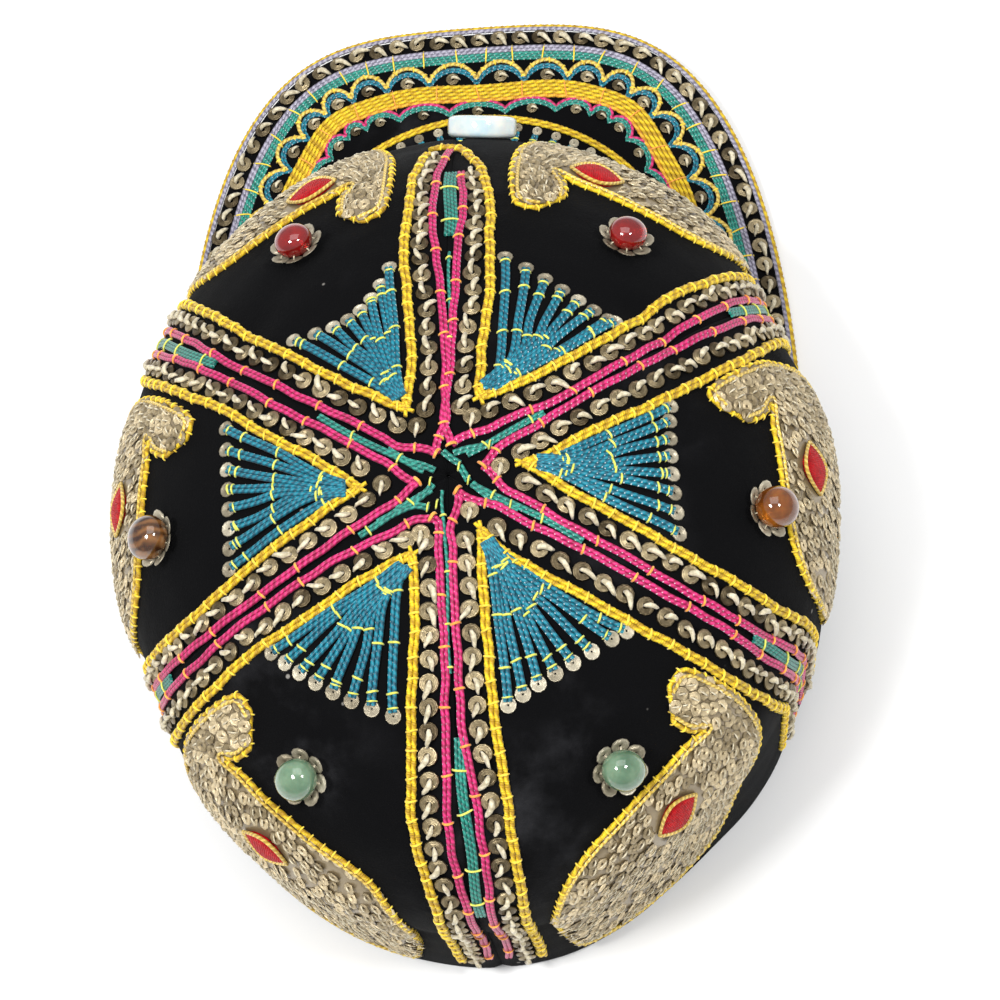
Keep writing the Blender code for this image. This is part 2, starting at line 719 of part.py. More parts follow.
def peakRows():
    start, end = rowEnds(0.0, 0.0)
    peakCord("peak_edge_cord", "silver_cord", EDGE_CORD, -EDGE_CORD - EDGE_GAP,
             -PEAK_THICKNESS / 2, start, end, 7.0, 1)
    start, end = rowEnds(PEAK_SEQUINS_IN, SEQUIN_HALF)
    peakStrip("peak_sequin_row", "champagne_sequin", SEQUIN_HALF, PEAK_SEQUINS_IN,
              start, end, 2.6, SEQUIN_THICKNESS, SEQUIN_WAIST)
    start, end = rowEnds(STRIPE_IN, STRIPE_HALF)
    peakStrip("peak_stripe_cord", "green_cord", STRIPE_HALF, STRIPE_IN, start, end, 7.0, 0.9)

    def outerWave(share):
        return SCALLOP_DEEP * math.cos(2 * math.pi * SCALLOPS * share)

    def innerWave(share):
        return INNER_SCALLOP_DEEP * math.cos(2 * math.pi * INNER_SCALLOPS * share)

    start, end = rowEnds(SCALLOP_IN, SCALLOP_DEEP + SCALLOP_CORD)
    pitch = (end - start) * EDGE_LENGTH / SCALLOPS
    peakCord("peak_scallop_cord", "yellow_cord", SCALLOP_CORD, SCALLOP_IN, LIFT + SCALLOP_CORD,
             start, end, pitch / 6, 0, outerWave)
    start, end = rowEnds(BRAID_IN, BRAID_HALF)
    peakStrip("peak_yellow_braid", "yellow_cord", BRAID_HALF, BRAID_IN, start, end, 7.0, 1.5)
    start, end = rowEnds(INNER_SCALLOP_IN, INNER_SCALLOP_DEEP + INNER_SCALLOP_CORD)
    pitch = (end - start) * EDGE_LENGTH / INNER_SCALLOPS
    peakCord("peak_inner_scallop_cord", "green_cord", INNER_SCALLOP_CORD, INNER_SCALLOP_IN,
             LIFT + INNER_SCALLOP_CORD, start, end, pitch / 6, 0, innerWave)

    rows = []
    deep = PEAK_REACH - PEAK_FAN_IN - PEAK_FAN_BACK
    for depth in (0.0, 0.5, 1.0):
        row = []
        for k in range(9):
            across = (k / 8 - 0.5) * 2 * PEAK_FAN_SPAN * (1.0 - 0.35 * depth)
            y = peakOutline(90.0).y + PEAK_FAN_IN + depth * deep + 0.0035 * across ** 2
            row.append(Vector((across, y, peakTop(across) + LIFT + 1.2)))
        rows.append(row)
    sheetNode("peak_fan", rows, "turquoise_cord", 1.2, Vector((0.0, 0.0, 1.0)))


for PANEL in PANELS:
    crownPanel(PANEL)
    bands(PANEL)
    fan(PANEL)
    scroll(PANEL)
for ROW in STONES:
    stone(ROW)
frontDisc()
peak()
peakRows()
print("nodes", len(HAT.objects), "faces", sum(len(ob.data.polygons) for ob in HAT.objects))
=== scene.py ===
import math

import bpy
import numpy as np
from mathutils import Matrix, Vector


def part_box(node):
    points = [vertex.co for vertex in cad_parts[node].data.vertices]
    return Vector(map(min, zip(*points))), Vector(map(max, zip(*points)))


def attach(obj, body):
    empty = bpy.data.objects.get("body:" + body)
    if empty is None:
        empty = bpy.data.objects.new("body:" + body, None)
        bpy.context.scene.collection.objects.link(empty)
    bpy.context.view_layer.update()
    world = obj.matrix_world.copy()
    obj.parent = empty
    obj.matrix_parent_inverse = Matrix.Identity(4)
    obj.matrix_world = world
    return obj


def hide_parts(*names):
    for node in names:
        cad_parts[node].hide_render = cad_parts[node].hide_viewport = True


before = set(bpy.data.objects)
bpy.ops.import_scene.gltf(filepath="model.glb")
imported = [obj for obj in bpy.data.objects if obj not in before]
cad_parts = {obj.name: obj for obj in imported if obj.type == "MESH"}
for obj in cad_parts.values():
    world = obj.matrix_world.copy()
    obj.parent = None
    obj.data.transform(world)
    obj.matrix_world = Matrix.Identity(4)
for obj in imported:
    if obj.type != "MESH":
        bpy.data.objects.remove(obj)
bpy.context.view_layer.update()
mm = 0.001
rng = np.random.default_rng(7)
print("frame loaded:", len(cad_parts), "nodes")


# Sums on node sockets, for shaders and Geometry Nodes alike
class Sock:
    def __init__(self, tree, out):
        self.tree, self.out = tree, out

    def calc(self, operation, *others, flip=False):
        node = self.tree.nodes.new("ShaderNodeMath")
        node.operation = operation
        values = [self, *others]
        if flip:
            values.reverse()
        for slot, value in zip(node.inputs, values):
            plug(self.tree, slot, value)
        return Sock(self.tree, node.outputs[0])

    def __add__(self, other):
        return self.calc("ADD", other)

    def __sub__(self, other):
        return self.calc("SUBTRACT", other)

    def __rsub__(self, other):
        return self.calc("SUBTRACT", other, flip=True)

    def __mul__(self, other):
        return self.calc("MULTIPLY", other)

    __radd__, __rmul__ = __add__, __mul__

    def sin(self):
        return self.calc("SINE")

    def cos(self):
        return self.calc("COSINE")

    def ramp(self, low, high):
        node = self.tree.nodes.new("ShaderNodeMapRange")
        node.interpolation_type = "SMOOTHSTEP"
        for slot, value in zip(node.inputs, (self, low, high)):
            plug(self.tree, slot, value)
        return Sock(self.tree, node.outputs[0])


def plug(tree, slot, value):
    if isinstance(value, Sock):
        tree.links.new(value.out, slot)
    else:
        slot.default_value = value


class Nodes:
    def __init__(self, tree):
        self.tree = tree
        tree.nodes.clear()

    def add(self, kind, settings=None, values=None, out=0):
        node = self.tree.nodes.new(kind)
        for name, value in (settings or {}).items():
            setattr(node, name, value)
        for key, value in (values or {}).items():
            plug(self.tree, node.inputs[key], value)
        return Sock(self.tree, node.outputs[out]) if len(node.outputs) else None

    def named(self, name, kind):
        return self.add("GeometryNodeInputNamedAttribute", {"data_type": kind}, {"Name": name})

    def store(self, geometry, name, value):
        return self.add("GeometryNodeStoreNamedAttribute", {"data_type": "FLOAT", "domain": "POINT"},
                        {0: geometry, "Name": name, "Value": value})

    def mix(self, share, first, second):
        return self.add("ShaderNodeMix", {"data_type": "RGBA"}, {0: share, 6: first, 7: second}, 2)

    def noise(self, where, scale, detail=3.0, roughness=0.5):
        return self.add("ShaderNodeTexNoise", None,
                        {"Vector": where, "Scale": scale, "Detail": detail, "Roughness": roughness})

    def place(self):
        return self.add("ShaderNodeTexCoord", out=3)

    def attribute(self, name):
        return self.add("ShaderNodeAttribute", {"attribute_name": name}, out=2)

    def bump(self, height, distance, strength=1.0):
        return self.add("ShaderNodeBump", None,
                        {"Height": height, "Distance": distance, "Strength": strength})

    def shader(self, **values):
        names = {key.replace("_", " "): value for key, value in values.items()}
        shader = self.add("ShaderNodeBsdfPrincipled", None, names)
        self.add("ShaderNodeOutputMaterial", None, {"Surface": shader})


def newMaterial(name):
    made = bpy.data.materials.new(name)
    made.use_nodes = True
    return made, Nodes(made.node_tree)


def rgb(*colour):
    return (*colour, 1.0)


# Black velvet: brushed pile with a pale sheen at grazing angles, and specks of lint
velvetLook = dict(pile=rgb(0.0016, 0.0016, 0.0019), brushed=rgb(0.020, 0.020, 0.022),
                  lint=rgb(0.20, 0.19, 0.17), sheen=0.02)


def velvetMaterial():
    made, n = newMaterial("black velvet")
    where = n.place()
    brushed = n.noise(where, 45.0, 5.0, 0.62).ramp(0.48, 0.78)
    patches = n.noise(where, 17.0, 3.0).ramp(0.46, 0.70)
    pile = n.noise(where, 2600.0, 2.0)
    cell = n.add("ShaderNodeTexVoronoi", None, {"Vector": where, "Scale": 240.0})
    chance = n.add("ShaderNodeTexVoronoi", None, {"Vector": where, "Scale": 240.0}, 1)
    red = n.add("ShaderNodeSeparateColor", None, {0: chance})
    lint = (1.0 - cell.ramp(0.08, 0.16)) * red.ramp(0.955, 0.965)
    base = n.mix(brushed * patches, velvetLook["pile"], velvetLook["brushed"])
    base = n.mix(lint, base, velvetLook["lint"])
    n.shader(Base_Color=base, Roughness=0.95, Specular_IOR_Level=0.08,
             Sheen_Weight=velvetLook["sheen"], Sheen_Roughness=0.42, Sheen_Tint=rgb(0.6, 0.62, 0.62),
             Normal=n.bump(pile + brushed * 1.5, 0.00022))
    return made


def clothBackMaterial():
    made, n = newMaterial("woven cotton back")
    where = n.place()
    axes = n.add("ShaderNodeSeparateXYZ", None, {0: where})
    up = n.add("ShaderNodeSeparateXYZ", None, {0: where}, 2)
    weave = (axes * 7000.0).sin() * (up * 7000.0).sin()
    base = n.mix(n.noise(where, 60.0), rgb(0.016, 0.015, 0.015), rgb(0.034, 0.032, 0.031))
    n.shader(Base_Color=base, Roughness=0.9, Specular_IOR_Level=0.2,
             Normal=n.bump(weave, 0.00012))
    return made


# Cords are twisted strands: "along" is the length down a strand in metres,
# and "across" and "top" say where round the strand a point is.
def cordMaterial(name, deep, bright, pitch, wrapAndGlints=None, roughness=0.5, sheen=0.12, groove=0.00016):
    made, n = newMaterial(name)
    along, across, top = n.attribute("along"), n.attribute("across"), n.attribute("top")
    turn = along * (2 * math.pi / pitch)
    plies = turn.sin() * across + turn.cos() * top
    strand = (turn * 5.0).sin() * across + (turn * 5.0).cos() * top
    worn = n.noise(n.place(), 420.0, 3.0)
    # painted light and shade: the top of each strand is painted lighter and its low twist grooves darker,
    # mixed with random worn tone
    base = n.mix((plies * 0.3 + worn * 0.9 + top * 0.25).ramp(0.0, 0.95), deep, bright)
    rough = roughness
    # the metal wrap thread as pale dashes, painted only on the top of each strand: part real wrap thread,
    # part painted highlight
    if wrapAndGlints:
        beat = (along * (2 * math.pi / wrapAndGlints["every"]) + n.noise(n.place(), 60.0) * 3.0).sin()
        dash = beat.ramp(0.80, 0.96) * top.ramp(0.55, 0.85)
        base = n.mix(dash, base, wrapAndGlints["colour"])
        rough = roughness - dash * (roughness - 0.25)
    n.shader(Base_Color=base, Roughness=rough, Sheen_Weight=sheen, Sheen_Roughness=0.4,
             Specular_IOR_Level=0.4, Normal=n.bump(plies * 0.7 + strand * 0.3, groove))
    return made


def threadMaterial(name, colour, dark):
    made, n = newMaterial(name)
    fibre = n.noise(n.place(), 900.0, 3.0, 0.6)
    n.shader(Base_Color=n.mix(fibre.ramp(0.3, 0.7), dark, colour), Roughness=0.6,
             Sheen_Weight=0.3, Normal=n.bump(fibre, 0.0002))
    return made


def sequinMaterial(name, pale, dark, metallic=0.75):
    made, n = newMaterial(name)
    ring, shade = n.attribute("ring"), n.attribute("shade")
    where = n.place()
    cloudy = n.noise(where, 500.0, 4.0, 0.6)
    grooves = (ring * 46.0).sin()
    base = n.mix((shade * 0.75 + cloudy * 0.5 - 0.1).ramp(0.0, 1.0), dark, pale)
    n.shader(Base_Color=base, Metallic=metallic, Roughness=0.26 + cloudy * 0.2,
             Specular_IOR_Level=0.6, Normal=n.bump(grooves * 0.4 + cloudy * 0.6, 0.00010))
    return made


def stoneMaterial(name, deep, light, clear, banded=0.0):
    made, n = newMaterial(name)
    where = n.place()
    cloud = n.noise(where, 130.0, 3.0, 0.6)
    veins = n.noise(where, 420.0, 4.0, 0.6)
    bands = (n.add("ShaderNodeSeparateXYZ", None, {0: where}, 1) * 2600.0 + cloud * 14.0).sin()
    share = (cloud * 0.9 + veins * 0.35 + bands * banded).ramp(0.35, 0.95)
    n.shader(Base_Color=n.mix(share, deep, light), Roughness=0.06, IOR=1.53,
             Transmission_Weight=clear, Subsurface_Weight=0.12, Subsurface_Scale=0.002,
             Coat_Weight=0.6, Coat_Roughness=0.03)
    return made


def satinMaterial():
    made, n = newMaterial("red satin stitch")
    where = n.place()
    stitch = (n.attribute("along") * (2 * math.pi / 0.0006)).sin()
    worn = n.noise(where, 700.0)
    n.shader(Base_Color=n.mix(worn.ramp(0.3, 0.7), rgb(0.40, 0.001, 0.004), rgb(0.66, 0.004, 0.009)),
             Roughness=0.65, Sheen_Weight=0.0, Specular_IOR_Level=0.2,
             Normal=n.bump(stitch + worn, 0.00016))
    return made


# silver wrap thread on the cords, its dashes painted near white on the strands' tops as painted highlight
silverWrapAndGlint = dict(every=0.0017, colour=rgb(0.80, 0.86, 0.90))
velvet = velvetMaterial()
clothBack = clothBackMaterial()
yellowRope = cordMaterial("yellow twisted cord", rgb(0.36, 0.20, 0.003), rgb(0.77, 0.54, 0.012), 0.0028)
orangeRope = cordMaterial("orange yellow cord", rgb(0.42, 0.17, 0.006), rgb(0.80, 0.44, 0.03), 0.0028)
pinkCord = cordMaterial("pink cord", rgb(0.24, 0.004, 0.045), rgb(0.66, 0.022, 0.17), 0.0016,
                        silverWrapAndGlint, 0.40, 0.12, 0.00006)
tealCord = cordMaterial("turquoise cord", rgb(0.001, 0.05, 0.08), rgb(0.003, 0.20, 0.275), 0.0016,
                        silverWrapAndGlint, 0.40, 0.12, 0.00006)
greenCord = cordMaterial("green cord", rgb(0.004, 0.08, 0.065), rgb(0.02, 0.28, 0.21), 0.0016,
                         silverWrapAndGlint, 0.40, 0.12, 0.00006)
silverCord = cordMaterial("lilac silver cord", rgb(0.10, 0.09, 0.13), rgb(0.38, 0.36, 0.44), 0.0016,
                          silverWrapAndGlint, 0.4, 0.12, 0.00006)
orangeTie = threadMaterial("orange tie", rgb(0.98, 0.42, 0.05), rgb(0.66, 0.20, 0.02))
yellowTie = threadMaterial("yellow tie", rgb(0.98, 0.74, 0.04), rgb(0.66, 0.42, 0.01))
limeTie = threadMaterial("pale yellow tie", rgb(0.74, 0.74, 0.10), rgb(0.44, 0.46, 0.05))
creamThread = threadMaterial("cream thread", rgb(0.66, 0.59, 0.42), rgb(0.34, 0.29, 0.18))
# gold cord with a pale gold wrap, its dashes painted on the strands' tops as painted highlight
goldThread = cordMaterial("gold couched cord", rgb(0.42, 0.26, 0.03), rgb(0.92, 0.68, 0.14), 0.0014,
                          dict(every=0.0013, colour=rgb(0.95, 0.88, 0.60)), 0.35)
champagne = sequinMaterial("champagne sequin", rgb(0.42, 0.34, 0.20), rgb(0.07, 0.05, 0.025), 0.85)
pearly = sequinMaterial("pale sequin", rgb(0.62, 0.56, 0.42), rgb(0.24, 0.20, 0.13), 0.6)
paleGold = sequinMaterial("pale gold sequin", rgb(0.77, 0.63, 0.39), rgb(0.25, 0.19, 0.10), 0.6)
scrollCloth = sequinMaterial("pale scroll cloth", rgb(0.50, 0.41, 0.26), rgb(0.20, 0.15, 0.08), 0.3)
redSatin = satinMaterial()
stoneLooks = {
    "red_stone": stoneMaterial("red glass", rgb(0.13, 0.003, 0.003), rgb(0.36, 0.012, 0.010), 0.35),
    "amber_stone": stoneMaterial("amber", rgb(0.11, 0.028, 0.004), rgb(0.42, 0.13, 0.014), 0.35),
    "brown_stone": stoneMaterial("banded brown stone", rgb(0.030, 0.010, 0.004),
                                 rgb(0.22, 0.095, 0.028), 0.05, 0.16),
    "jade_stone": stoneMaterial("jade", rgb(0.07, 0.14, 0.08), rgb(0.21, 0.32, 0.20), 0.15),
    "milky_stone": stoneMaterial("milky stone", rgb(0.50, 0.66, 0.72), rgb(0.88, 0.86, 0.76), 0.2),
}
print("materials ready")


# The crown and the peak in millimetres, as the CAD has them. A bearing is degrees round from
# the front towards the wearer's right, and a fall is length of cloth down from the top.
crown = dict(halfWidth=86.0, frontLength=99.5, backLength=107.0, domeHeight=70.0, wallHeight=42.0,
             squareness=2.4, topSetBack=21.0, rimTaper=0.03, cloth=1.6)
dents = [
    dict(bearing=60.0, spread=13.0, depth=0.037),
    dict(bearing=240.0, spread=12.0, depth=0.028),
    dict(bearing=20.0, spread=12.0, depth=0.021),
    dict(bearing=122.0, spread=9.0, depth=0.019),
    dict(bearing=150.0, spread=16.0, depth=0.05),
]
# Creases in the cloth, from one place to another, each a soft trough
creases = [
    dict(start=(46.0, 62.0), end=(72.0, 66.0), wide=3.6, deep=1.3),
    dict(start=(300.0, 62.0), end=(330.0, 74.0), wide=5.0, deep=0.8),
    dict(start=(236.0, 52.0), end=(262.0, 46.0), wide=5.0, deep=0.9),
    dict(start=(118.0, 88.0), end=(146.0, 96.0), wide=6.0, deep=0.9),
    dict(start=(184.0, 92.0), end=(214.0, 112.0), wide=7.0, deep=1.0),
    dict(start=(340.0, 80.0), end=(352.0, 118.0), wide=6.0, deep=0.8),
    dict(start=(70.0, 96.0), end=(104.0, 118.0), wide=6.0, deep=0.9),
]
peakShape = dict(halfWidth=79.0, reach=51.5, rear=-36.0, arch=9.0, lift=3.0, thickness=2.6,
                 start=4.0, root=56.5)
seams = [0.0, 58.2, 121.7, 180.0, 238.3, 301.8, 360.0]
panels = ["front_right", "side_right", "back_right", "back_left", "side_left", "front_left"]
maxFall = 215


def crownProfile():
    turn = np.linspace(1e-4, np.pi / 2, 240)
    down = np.linspace(0.0, 1.6, 61)[1:]
    outward = np.concatenate([np.sin(turn) ** (2 / crown["squareness"]), 1 - crown["rimTaper"] * down])
    dome = crown["wallHeight"] + crown["domeHeight"] * np.cos(turn) ** (2 / crown["squareness"])
    heights = np.concatenate([dome, crown["wallHeight"] * (1 - down)])
    setBack = crown["topSetBack"] * np.clip((heights - crown["wallHeight"]) / crown["domeHeight"], 0, 1)
    return outward, heights, setBack


def wrapped(angle):
    return (angle + 180.0) % 360.0 - 180.0


def unit(vectors):
    return vectors / (np.linalg.norm(vectors, axis=-1, keepdims=True) + 1e-9)


def crownLine(bearing):
    outward, heights, setBack = crownProfile()
    t = math.radians(bearing)
    length = crown["frontLength"] if math.cos(t) > 0 else crown["backLength"]
    radius = outward / math.hypot(math.sin(t) / crown["halfWidth"], math.cos(t) / length)
    for dent in dents:
        near = math.exp(-(wrapped(bearing - dent["bearing"]) / dent["spread"]) ** 2)
        radius = radius - dent["depth"] * crown["halfWidth"] * near * outward ** 6
    points = np.stack([-math.sin(t) * radius, -math.cos(t) * radius + setBack, heights], -1)
    steps = np.linalg.norm(np.diff(points, axis=0), axis=1)
    falls = np.concatenate([[0.0], np.cumsum(steps)])
    asked = np.arange(0.0, maxFall + 1.0)
    return np.stack([np.interp(asked, falls, points[:, k]) for k in range(3)], -1)


def gridNormals(grid):
    around = np.gradient(grid, np.pi / 180, axis=0)
    around[0] = around[-1] = (grid[1] - grid[-2]) / (2 * np.pi / 180)
    outward = unit(np.cross(around, np.gradient(grid, axis=1)))
    outward *= np.sign((outward * (grid - np.array([0.0, 0.0, 20.0]))).sum(-1, keepdims=True))
    outward[:, :2] = outward[:, 2:3]
    return outward, np.linalg.norm(around, axis=-1, keepdims=True)


def creaseDepth():
    bearings, falls = np.meshgrid(np.arange(361.0), np.arange(maxFall + 1.0), indexing="ij")
    depth = np.zeros(bearings.shape)
    for crease in creases:
        (b0, f0), (b1, f1) = crease["start"], crease["end"]
        scale = math.radians(0.5 * (f0 + f1)) * 0.8
        x, y = (bearings - b0) * scale, falls - f0
        dx, dy = (b1 - b0) * scale, f1 - f0
        share = np.clip((x * dx + y * dy) / (dx * dx + dy * dy), 0.0, 1.0)
        away = np.hypot(x - share * dx, y - share * dy)
        depth += crease["deep"] * np.exp(-(away / crease["wide"]) ** 2)
    return depth


crownGrid = np.stack([crownLine(float(b)) for b in range(361)])
crownOut, crownReach = gridNormals(crownGrid)
crownGrid = crownGrid - crownOut * creaseDepth()[..., None]
crownOut, _ = gridNormals(crownGrid)


def sample(grid, bearing, fall):
    bearing = np.minimum(np.asarray(bearing, float) % 360.0, 359.9999)
    fall = np.clip(np.asarray(fall, float), 0.0, maxFall - 1e-6)
    i, j = bearing.astype(int), fall.astype(int)
    u, v = (bearing - i)[..., None], (fall - j)[..., None]
    near = grid[i, j] * (1 - v) + grid[i, j + 1] * v
    far = grid[i + 1, j] * (1 - v) + grid[i + 1, j + 1] * v
    return near * (1 - u) + far * u


def onCrown(bearing, fall, lift=0.0):
    outward = unit(sample(crownOut, bearing, fall))
    return sample(crownGrid, bearing, fall) + outward * lift, outward


def onBand(seam, along, across):
    along, across = np.asarray(along, float), np.asarray(across, float)
    fall = np.hypot(along, across)
    reach = sample(crownReach, np.full(fall.shape, seam), fall)[..., 0]
    return seam + np.degrees(np.arctan2(across, along) * fall / np.maximum(reach, 0.05)), fall


def fallAt(bearing, height):
    line = sample(crownGrid, np.full(maxFall, float(bearing)), np.arange(maxFall) + 0.0)
    return float(np.interp(-height, -line[:, 2], np.arange(maxFall)))


def peakTop(x):
    return peakShape["lift"] + peakShape["arch"] * (1 - (x / peakShape["halfWidth"]) ** 2)


def rimHeight(bearing):
    away = abs(wrapped(bearing))
    under = np.clip((67.2 - away) / 8.5, 0.0, 1.0)
    x = -math.sin(math.radians(bearing)) * crown["halfWidth"]
    return float((peakTop(x) + 0.5) * under * under * (3 - 2 * under))


def peakEdge(turn):
    t = np.radians(turn)
    side = np.sign(np.cos(t)) * np.sqrt(np.abs(np.cos(t)))
    front = crown["frontLength"] + peakShape["reach"]
    return np.stack([peakShape["halfWidth"] * side,
                     peakShape["rear"] - (front + peakShape["rear"]) * np.sin(t)], -1)


edgePoints = peakEdge(np.linspace(peakShape["start"], 180.0 - peakShape["start"], 400))
edgeFalls = np.concatenate([[0.0], np.cumsum(np.linalg.norm(np.diff(edgePoints, axis=0), axis=1))])
edgeLength = edgeFalls[-1]


def onPeak(share, inset, lift=0.0):
    share, inset = np.asarray(share, float), np.asarray(inset, float)

    def edgeAt(part):
        return np.stack([np.interp(part * edgeLength, edgeFalls, edgePoints[:, k])
                         for k in range(2)], -1)

    tangent = unit(edgeAt(np.minimum(share + 0.012, 1.0)) - edgeAt(np.maximum(share - 0.012, 0.0)))
    inward = np.stack([tangent[..., 1], -tangent[..., 0]], -1)
    place = edgeAt(share)
    middle = np.array([0.0, -60.0]) - place
    inward *= np.sign((inward * middle).sum(-1, keepdims=True))
    place = place + inward * inset[..., None]
    return onPeakAt(place[..., 0], place[..., 1], lift)


def onPeakAt(x, y, lift=0.0):
    slope = -2.0 * peakShape["arch"] * x / peakShape["halfWidth"] ** 2
    outward = unit(np.stack([-slope, np.zeros_like(x), np.ones_like(x)], -1))
    return np.stack([x, y, peakTop(x)], -1) + outward * lift, outward


# Smooth lines through a few places
def smooth(points, step):
    points = np.asarray(points, float)
    ends = np.concatenate([[2 * points[0] - points[1]], points, [2 * points[-1] - points[-2]]])
    made = []
    for k in range(len(points) - 1):
        a, b, c, d = ends[k:k + 4]
        count = max(2, int(np.linalg.norm((c - b)[:2]) / step))
        t = np.linspace(0.0, 1.0, count, endpoint=False)[:, None]
        made.append(0.5 * (2 * b + (c - a) * t + (2 * a - 5 * b + 4 * c - d) * t ** 2
                           + (3 * b - a - 3 * c + d) * t ** 3))
    return np.concatenate(made + [points[-1:]])


# Places at an even spacing down a line of points and normals
def evenly(line, spacing, first=0.5):
    points, outward = line
    falls = np.concatenate([[0.0], np.cumsum(np.linalg.norm(np.diff(points, axis=0), axis=1))])
    asked = np.arange(first * spacing, falls[-1], spacing)

    def read(where, values):
        return np.stack([np.interp(where, falls, values[:, k]) for k in range(3)], -1)

    return (read(asked, points), read(asked, outward),
            unit(read(asked + 0.4, points) - read(asked - 0.4, points)))


def shifted(line, sideways, lift=0.0):
    points, outward = line
    side = unit(np.cross(np.gradient(points, axis=0), outward))
    return points + side * sideways + outward * lift, outward


# Random numbers in a column, on both sides of nought
def scatter(count, middle=0.5):
    return rng.random((count, 1)) - middle


def meshObject(name, points, faces=(), edges=(), scale=mm):
    mesh = bpy.data.meshes.new(name)
    mesh.from_pydata((np.asarray(points) * scale).tolist(), list(edges), list(faces))
    mesh.shade_smooth()
    made = bpy.data.objects.new(name, mesh)
    bpy.context.scene.collection.objects.link(made)
    return made


def setVectors(mesh, name, values):
    layer = mesh.attributes.new(name, "FLOAT_VECTOR", "POINT")
    layer.data.foreach_set("vector", np.asarray(values, float).ravel())


def setNumbers(mesh, name, values):
    layer = mesh.attributes.new(name, "FLOAT", "POINT")
    layer.data.foreach_set("value", np.asarray(values, float).ravel())


# Geometry Nodes: strands couched side by side along a line
def newTree(name, sockets):
    tree = bpy.data.node_groups.new(name, "GeometryNodeTree")
    tree.interface.new_socket("Geometry", in_out="OUTPUT", socket_type="NodeSocketGeometry")
    for label, kind in sockets:
        tree.interface.new_socket(label, in_out="INPUT", socket_type="NodeSocket" + kind)
    nodes = Nodes(tree)
    given = tree.nodes.new("NodeGroupInput")
    return tree, nodes, {slot.name: Sock(tree, slot) for slot in given.outputs if slot.name}


def couchedTree():
    tree, n, given = newTree("couched strands", [
        ("Lines", "Geometry"), ("Strands", "Int"), ("Radius", "Float"), ("Spread", "Float"),
        ("Step", "Float"), ("Sides", "Int"), ("Twist Pitch", "Float"), ("Twist Depth", "Float"),
        ("Material", "Material")])
    curve = n.add("GeometryNodeMeshToCurve", None, {0: given["Lines"]})
    curve = n.add("GeometryNodeResampleCurve", {"mode": "LENGTH"}, {0: curve, 3: given["Step"]})
    copies = tree.nodes.new("GeometryNodeDuplicateElements")
    copies.domain = "SPLINE"
    plug(tree, copies.inputs["Amount"], given["Strands"])
    plug(tree, copies.inputs[0], curve)
    index = Sock(tree, copies.outputs[1])
    up = n.named("up", "FLOAT_VECTOR")
    tangent = n.add("GeometryNodeInputTangent")
    side = n.add("ShaderNodeVectorMath", {"operation": "CROSS_PRODUCT"}, {0: tangent, 1: up})
    side = n.add("ShaderNodeVectorMath", {"operation": "NORMALIZE"}, {0: side})
    sideways = (index - (given["Strands"] - 1.0) * 0.5) * given["Spread"]
    offset = n.add("ShaderNodeVectorMath", {"operation": "SCALE"}, {0: side, 3: sideways})
    curve = n.add("GeometryNodeSetPosition", None, {0: Sock(tree, copies.outputs[0]), "Offset": offset})
    curve = n.add("GeometryNodeSetCurveNormal", {"mode": "FREE"}, {0: curve, "Normal": up})
    along = n.add("GeometryNodeSplineParameter", out=1)
    curve = n.store(curve, "along", along + index * 0.0007)
    ring = n.add("GeometryNodeCurvePrimitiveCircle", None,
                 {"Resolution": given["Sides"], "Radius": given["Radius"]})
    where = n.add("GeometryNodeInputPosition")
    for axis, label in enumerate(("across", "top")):
        part = n.add("ShaderNodeSeparateXYZ", None, {0: where}, axis)
        ring = n.store(ring, label, part.calc("DIVIDE", given["Radius"]))
    mesh = n.add("GeometryNodeCurveToMesh", None, {0: curve, 1: ring, "Fill Caps": True})
    a, x, y = [n.named(label, "FLOAT") for label in ("along", "across", "top")]
    turn = (a * (4 * math.pi)).calc("DIVIDE", given["Twist Pitch"])
    plies = turn.cos() * (x * x - y * y) + turn.sin() * (x * y * 2.0)
    normal = n.add("GeometryNodeInputNormal")
    push = n.add("ShaderNodeVectorMath", {"operation": "SCALE"},
                 {0: normal, 3: plies * given["Twist Depth"]})
    mesh = n.add("GeometryNodeSetPosition", None, {0: mesh, "Offset": push})
    mesh = n.add("GeometryNodeSetShadeSmooth", None, {0: mesh})
    mesh = n.add("GeometryNodeRealizeInstances", None, {0: mesh})
    mesh = n.add("GeometryNodeSetMaterial", None, {0: mesh, "Material": given["Material"]})
    n.add("NodeGroupOutput", None, {0: mesh})
    return tree


# Geometry Nodes: one small shape sewn on at many places
def sewnTree():
    tree, n, given = newTree("sewn shapes", [
        ("Places", "Geometry"), ("Shape", "Object"), ("Size", "Float"), ("Material", "Material")])
    up, ahead, grow = [n.named(label, "FLOAT_VECTOR") for label in ("up", "ahead", "grow")]
    turn = n.add("FunctionNodeAxesToRotation", {"primary_axis": "Z", "secondary_axis": "X"},
                 {0: up, 1: ahead})
    shape = n.add("GeometryNodeObjectInfo", None, {0: given["Shape"]}, 4)
    size = n.add("ShaderNodeVectorMath", {"operation": "SCALE"}, {0: grow, 3: given["Size"]})
    mesh = n.add("GeometryNodeInstanceOnPoints", None,
                 {0: given["Places"], "Instance": shape, "Rotation": turn, "Scale": size})
    mesh = n.add("GeometryNodeRealizeInstances", None, {0: mesh})
    mesh = n.add("GeometryNodeSetMaterial", None, {0: mesh, "Material": given["Material"]})
    n.add("NodeGroupOutput", None, {0: mesh})
    return tree


couched, sewn = couchedTree(), sewnTree()


# The source's mesh as the tree makes it, plain, in the source's place
def throughTree(source, tree, values):
    modifier = source.modifiers.new(tree.name, "NODES")
    modifier.node_group = tree
    for item in tree.interface.items_tree:
        if item.in_out == "INPUT" and item.name in values:
            modifier[item.identifier] = values[item.name]
    bpy.context.view_layer.update()
    graph = bpy.context.evaluated_depsgraph_get()
    mesh = bpy.data.meshes.new_from_object(source.evaluated_get(graph))
    source.modifiers.clear()
    old = source.data
    source.data = mesh
    bpy.data.meshes.remove(old)
    return source


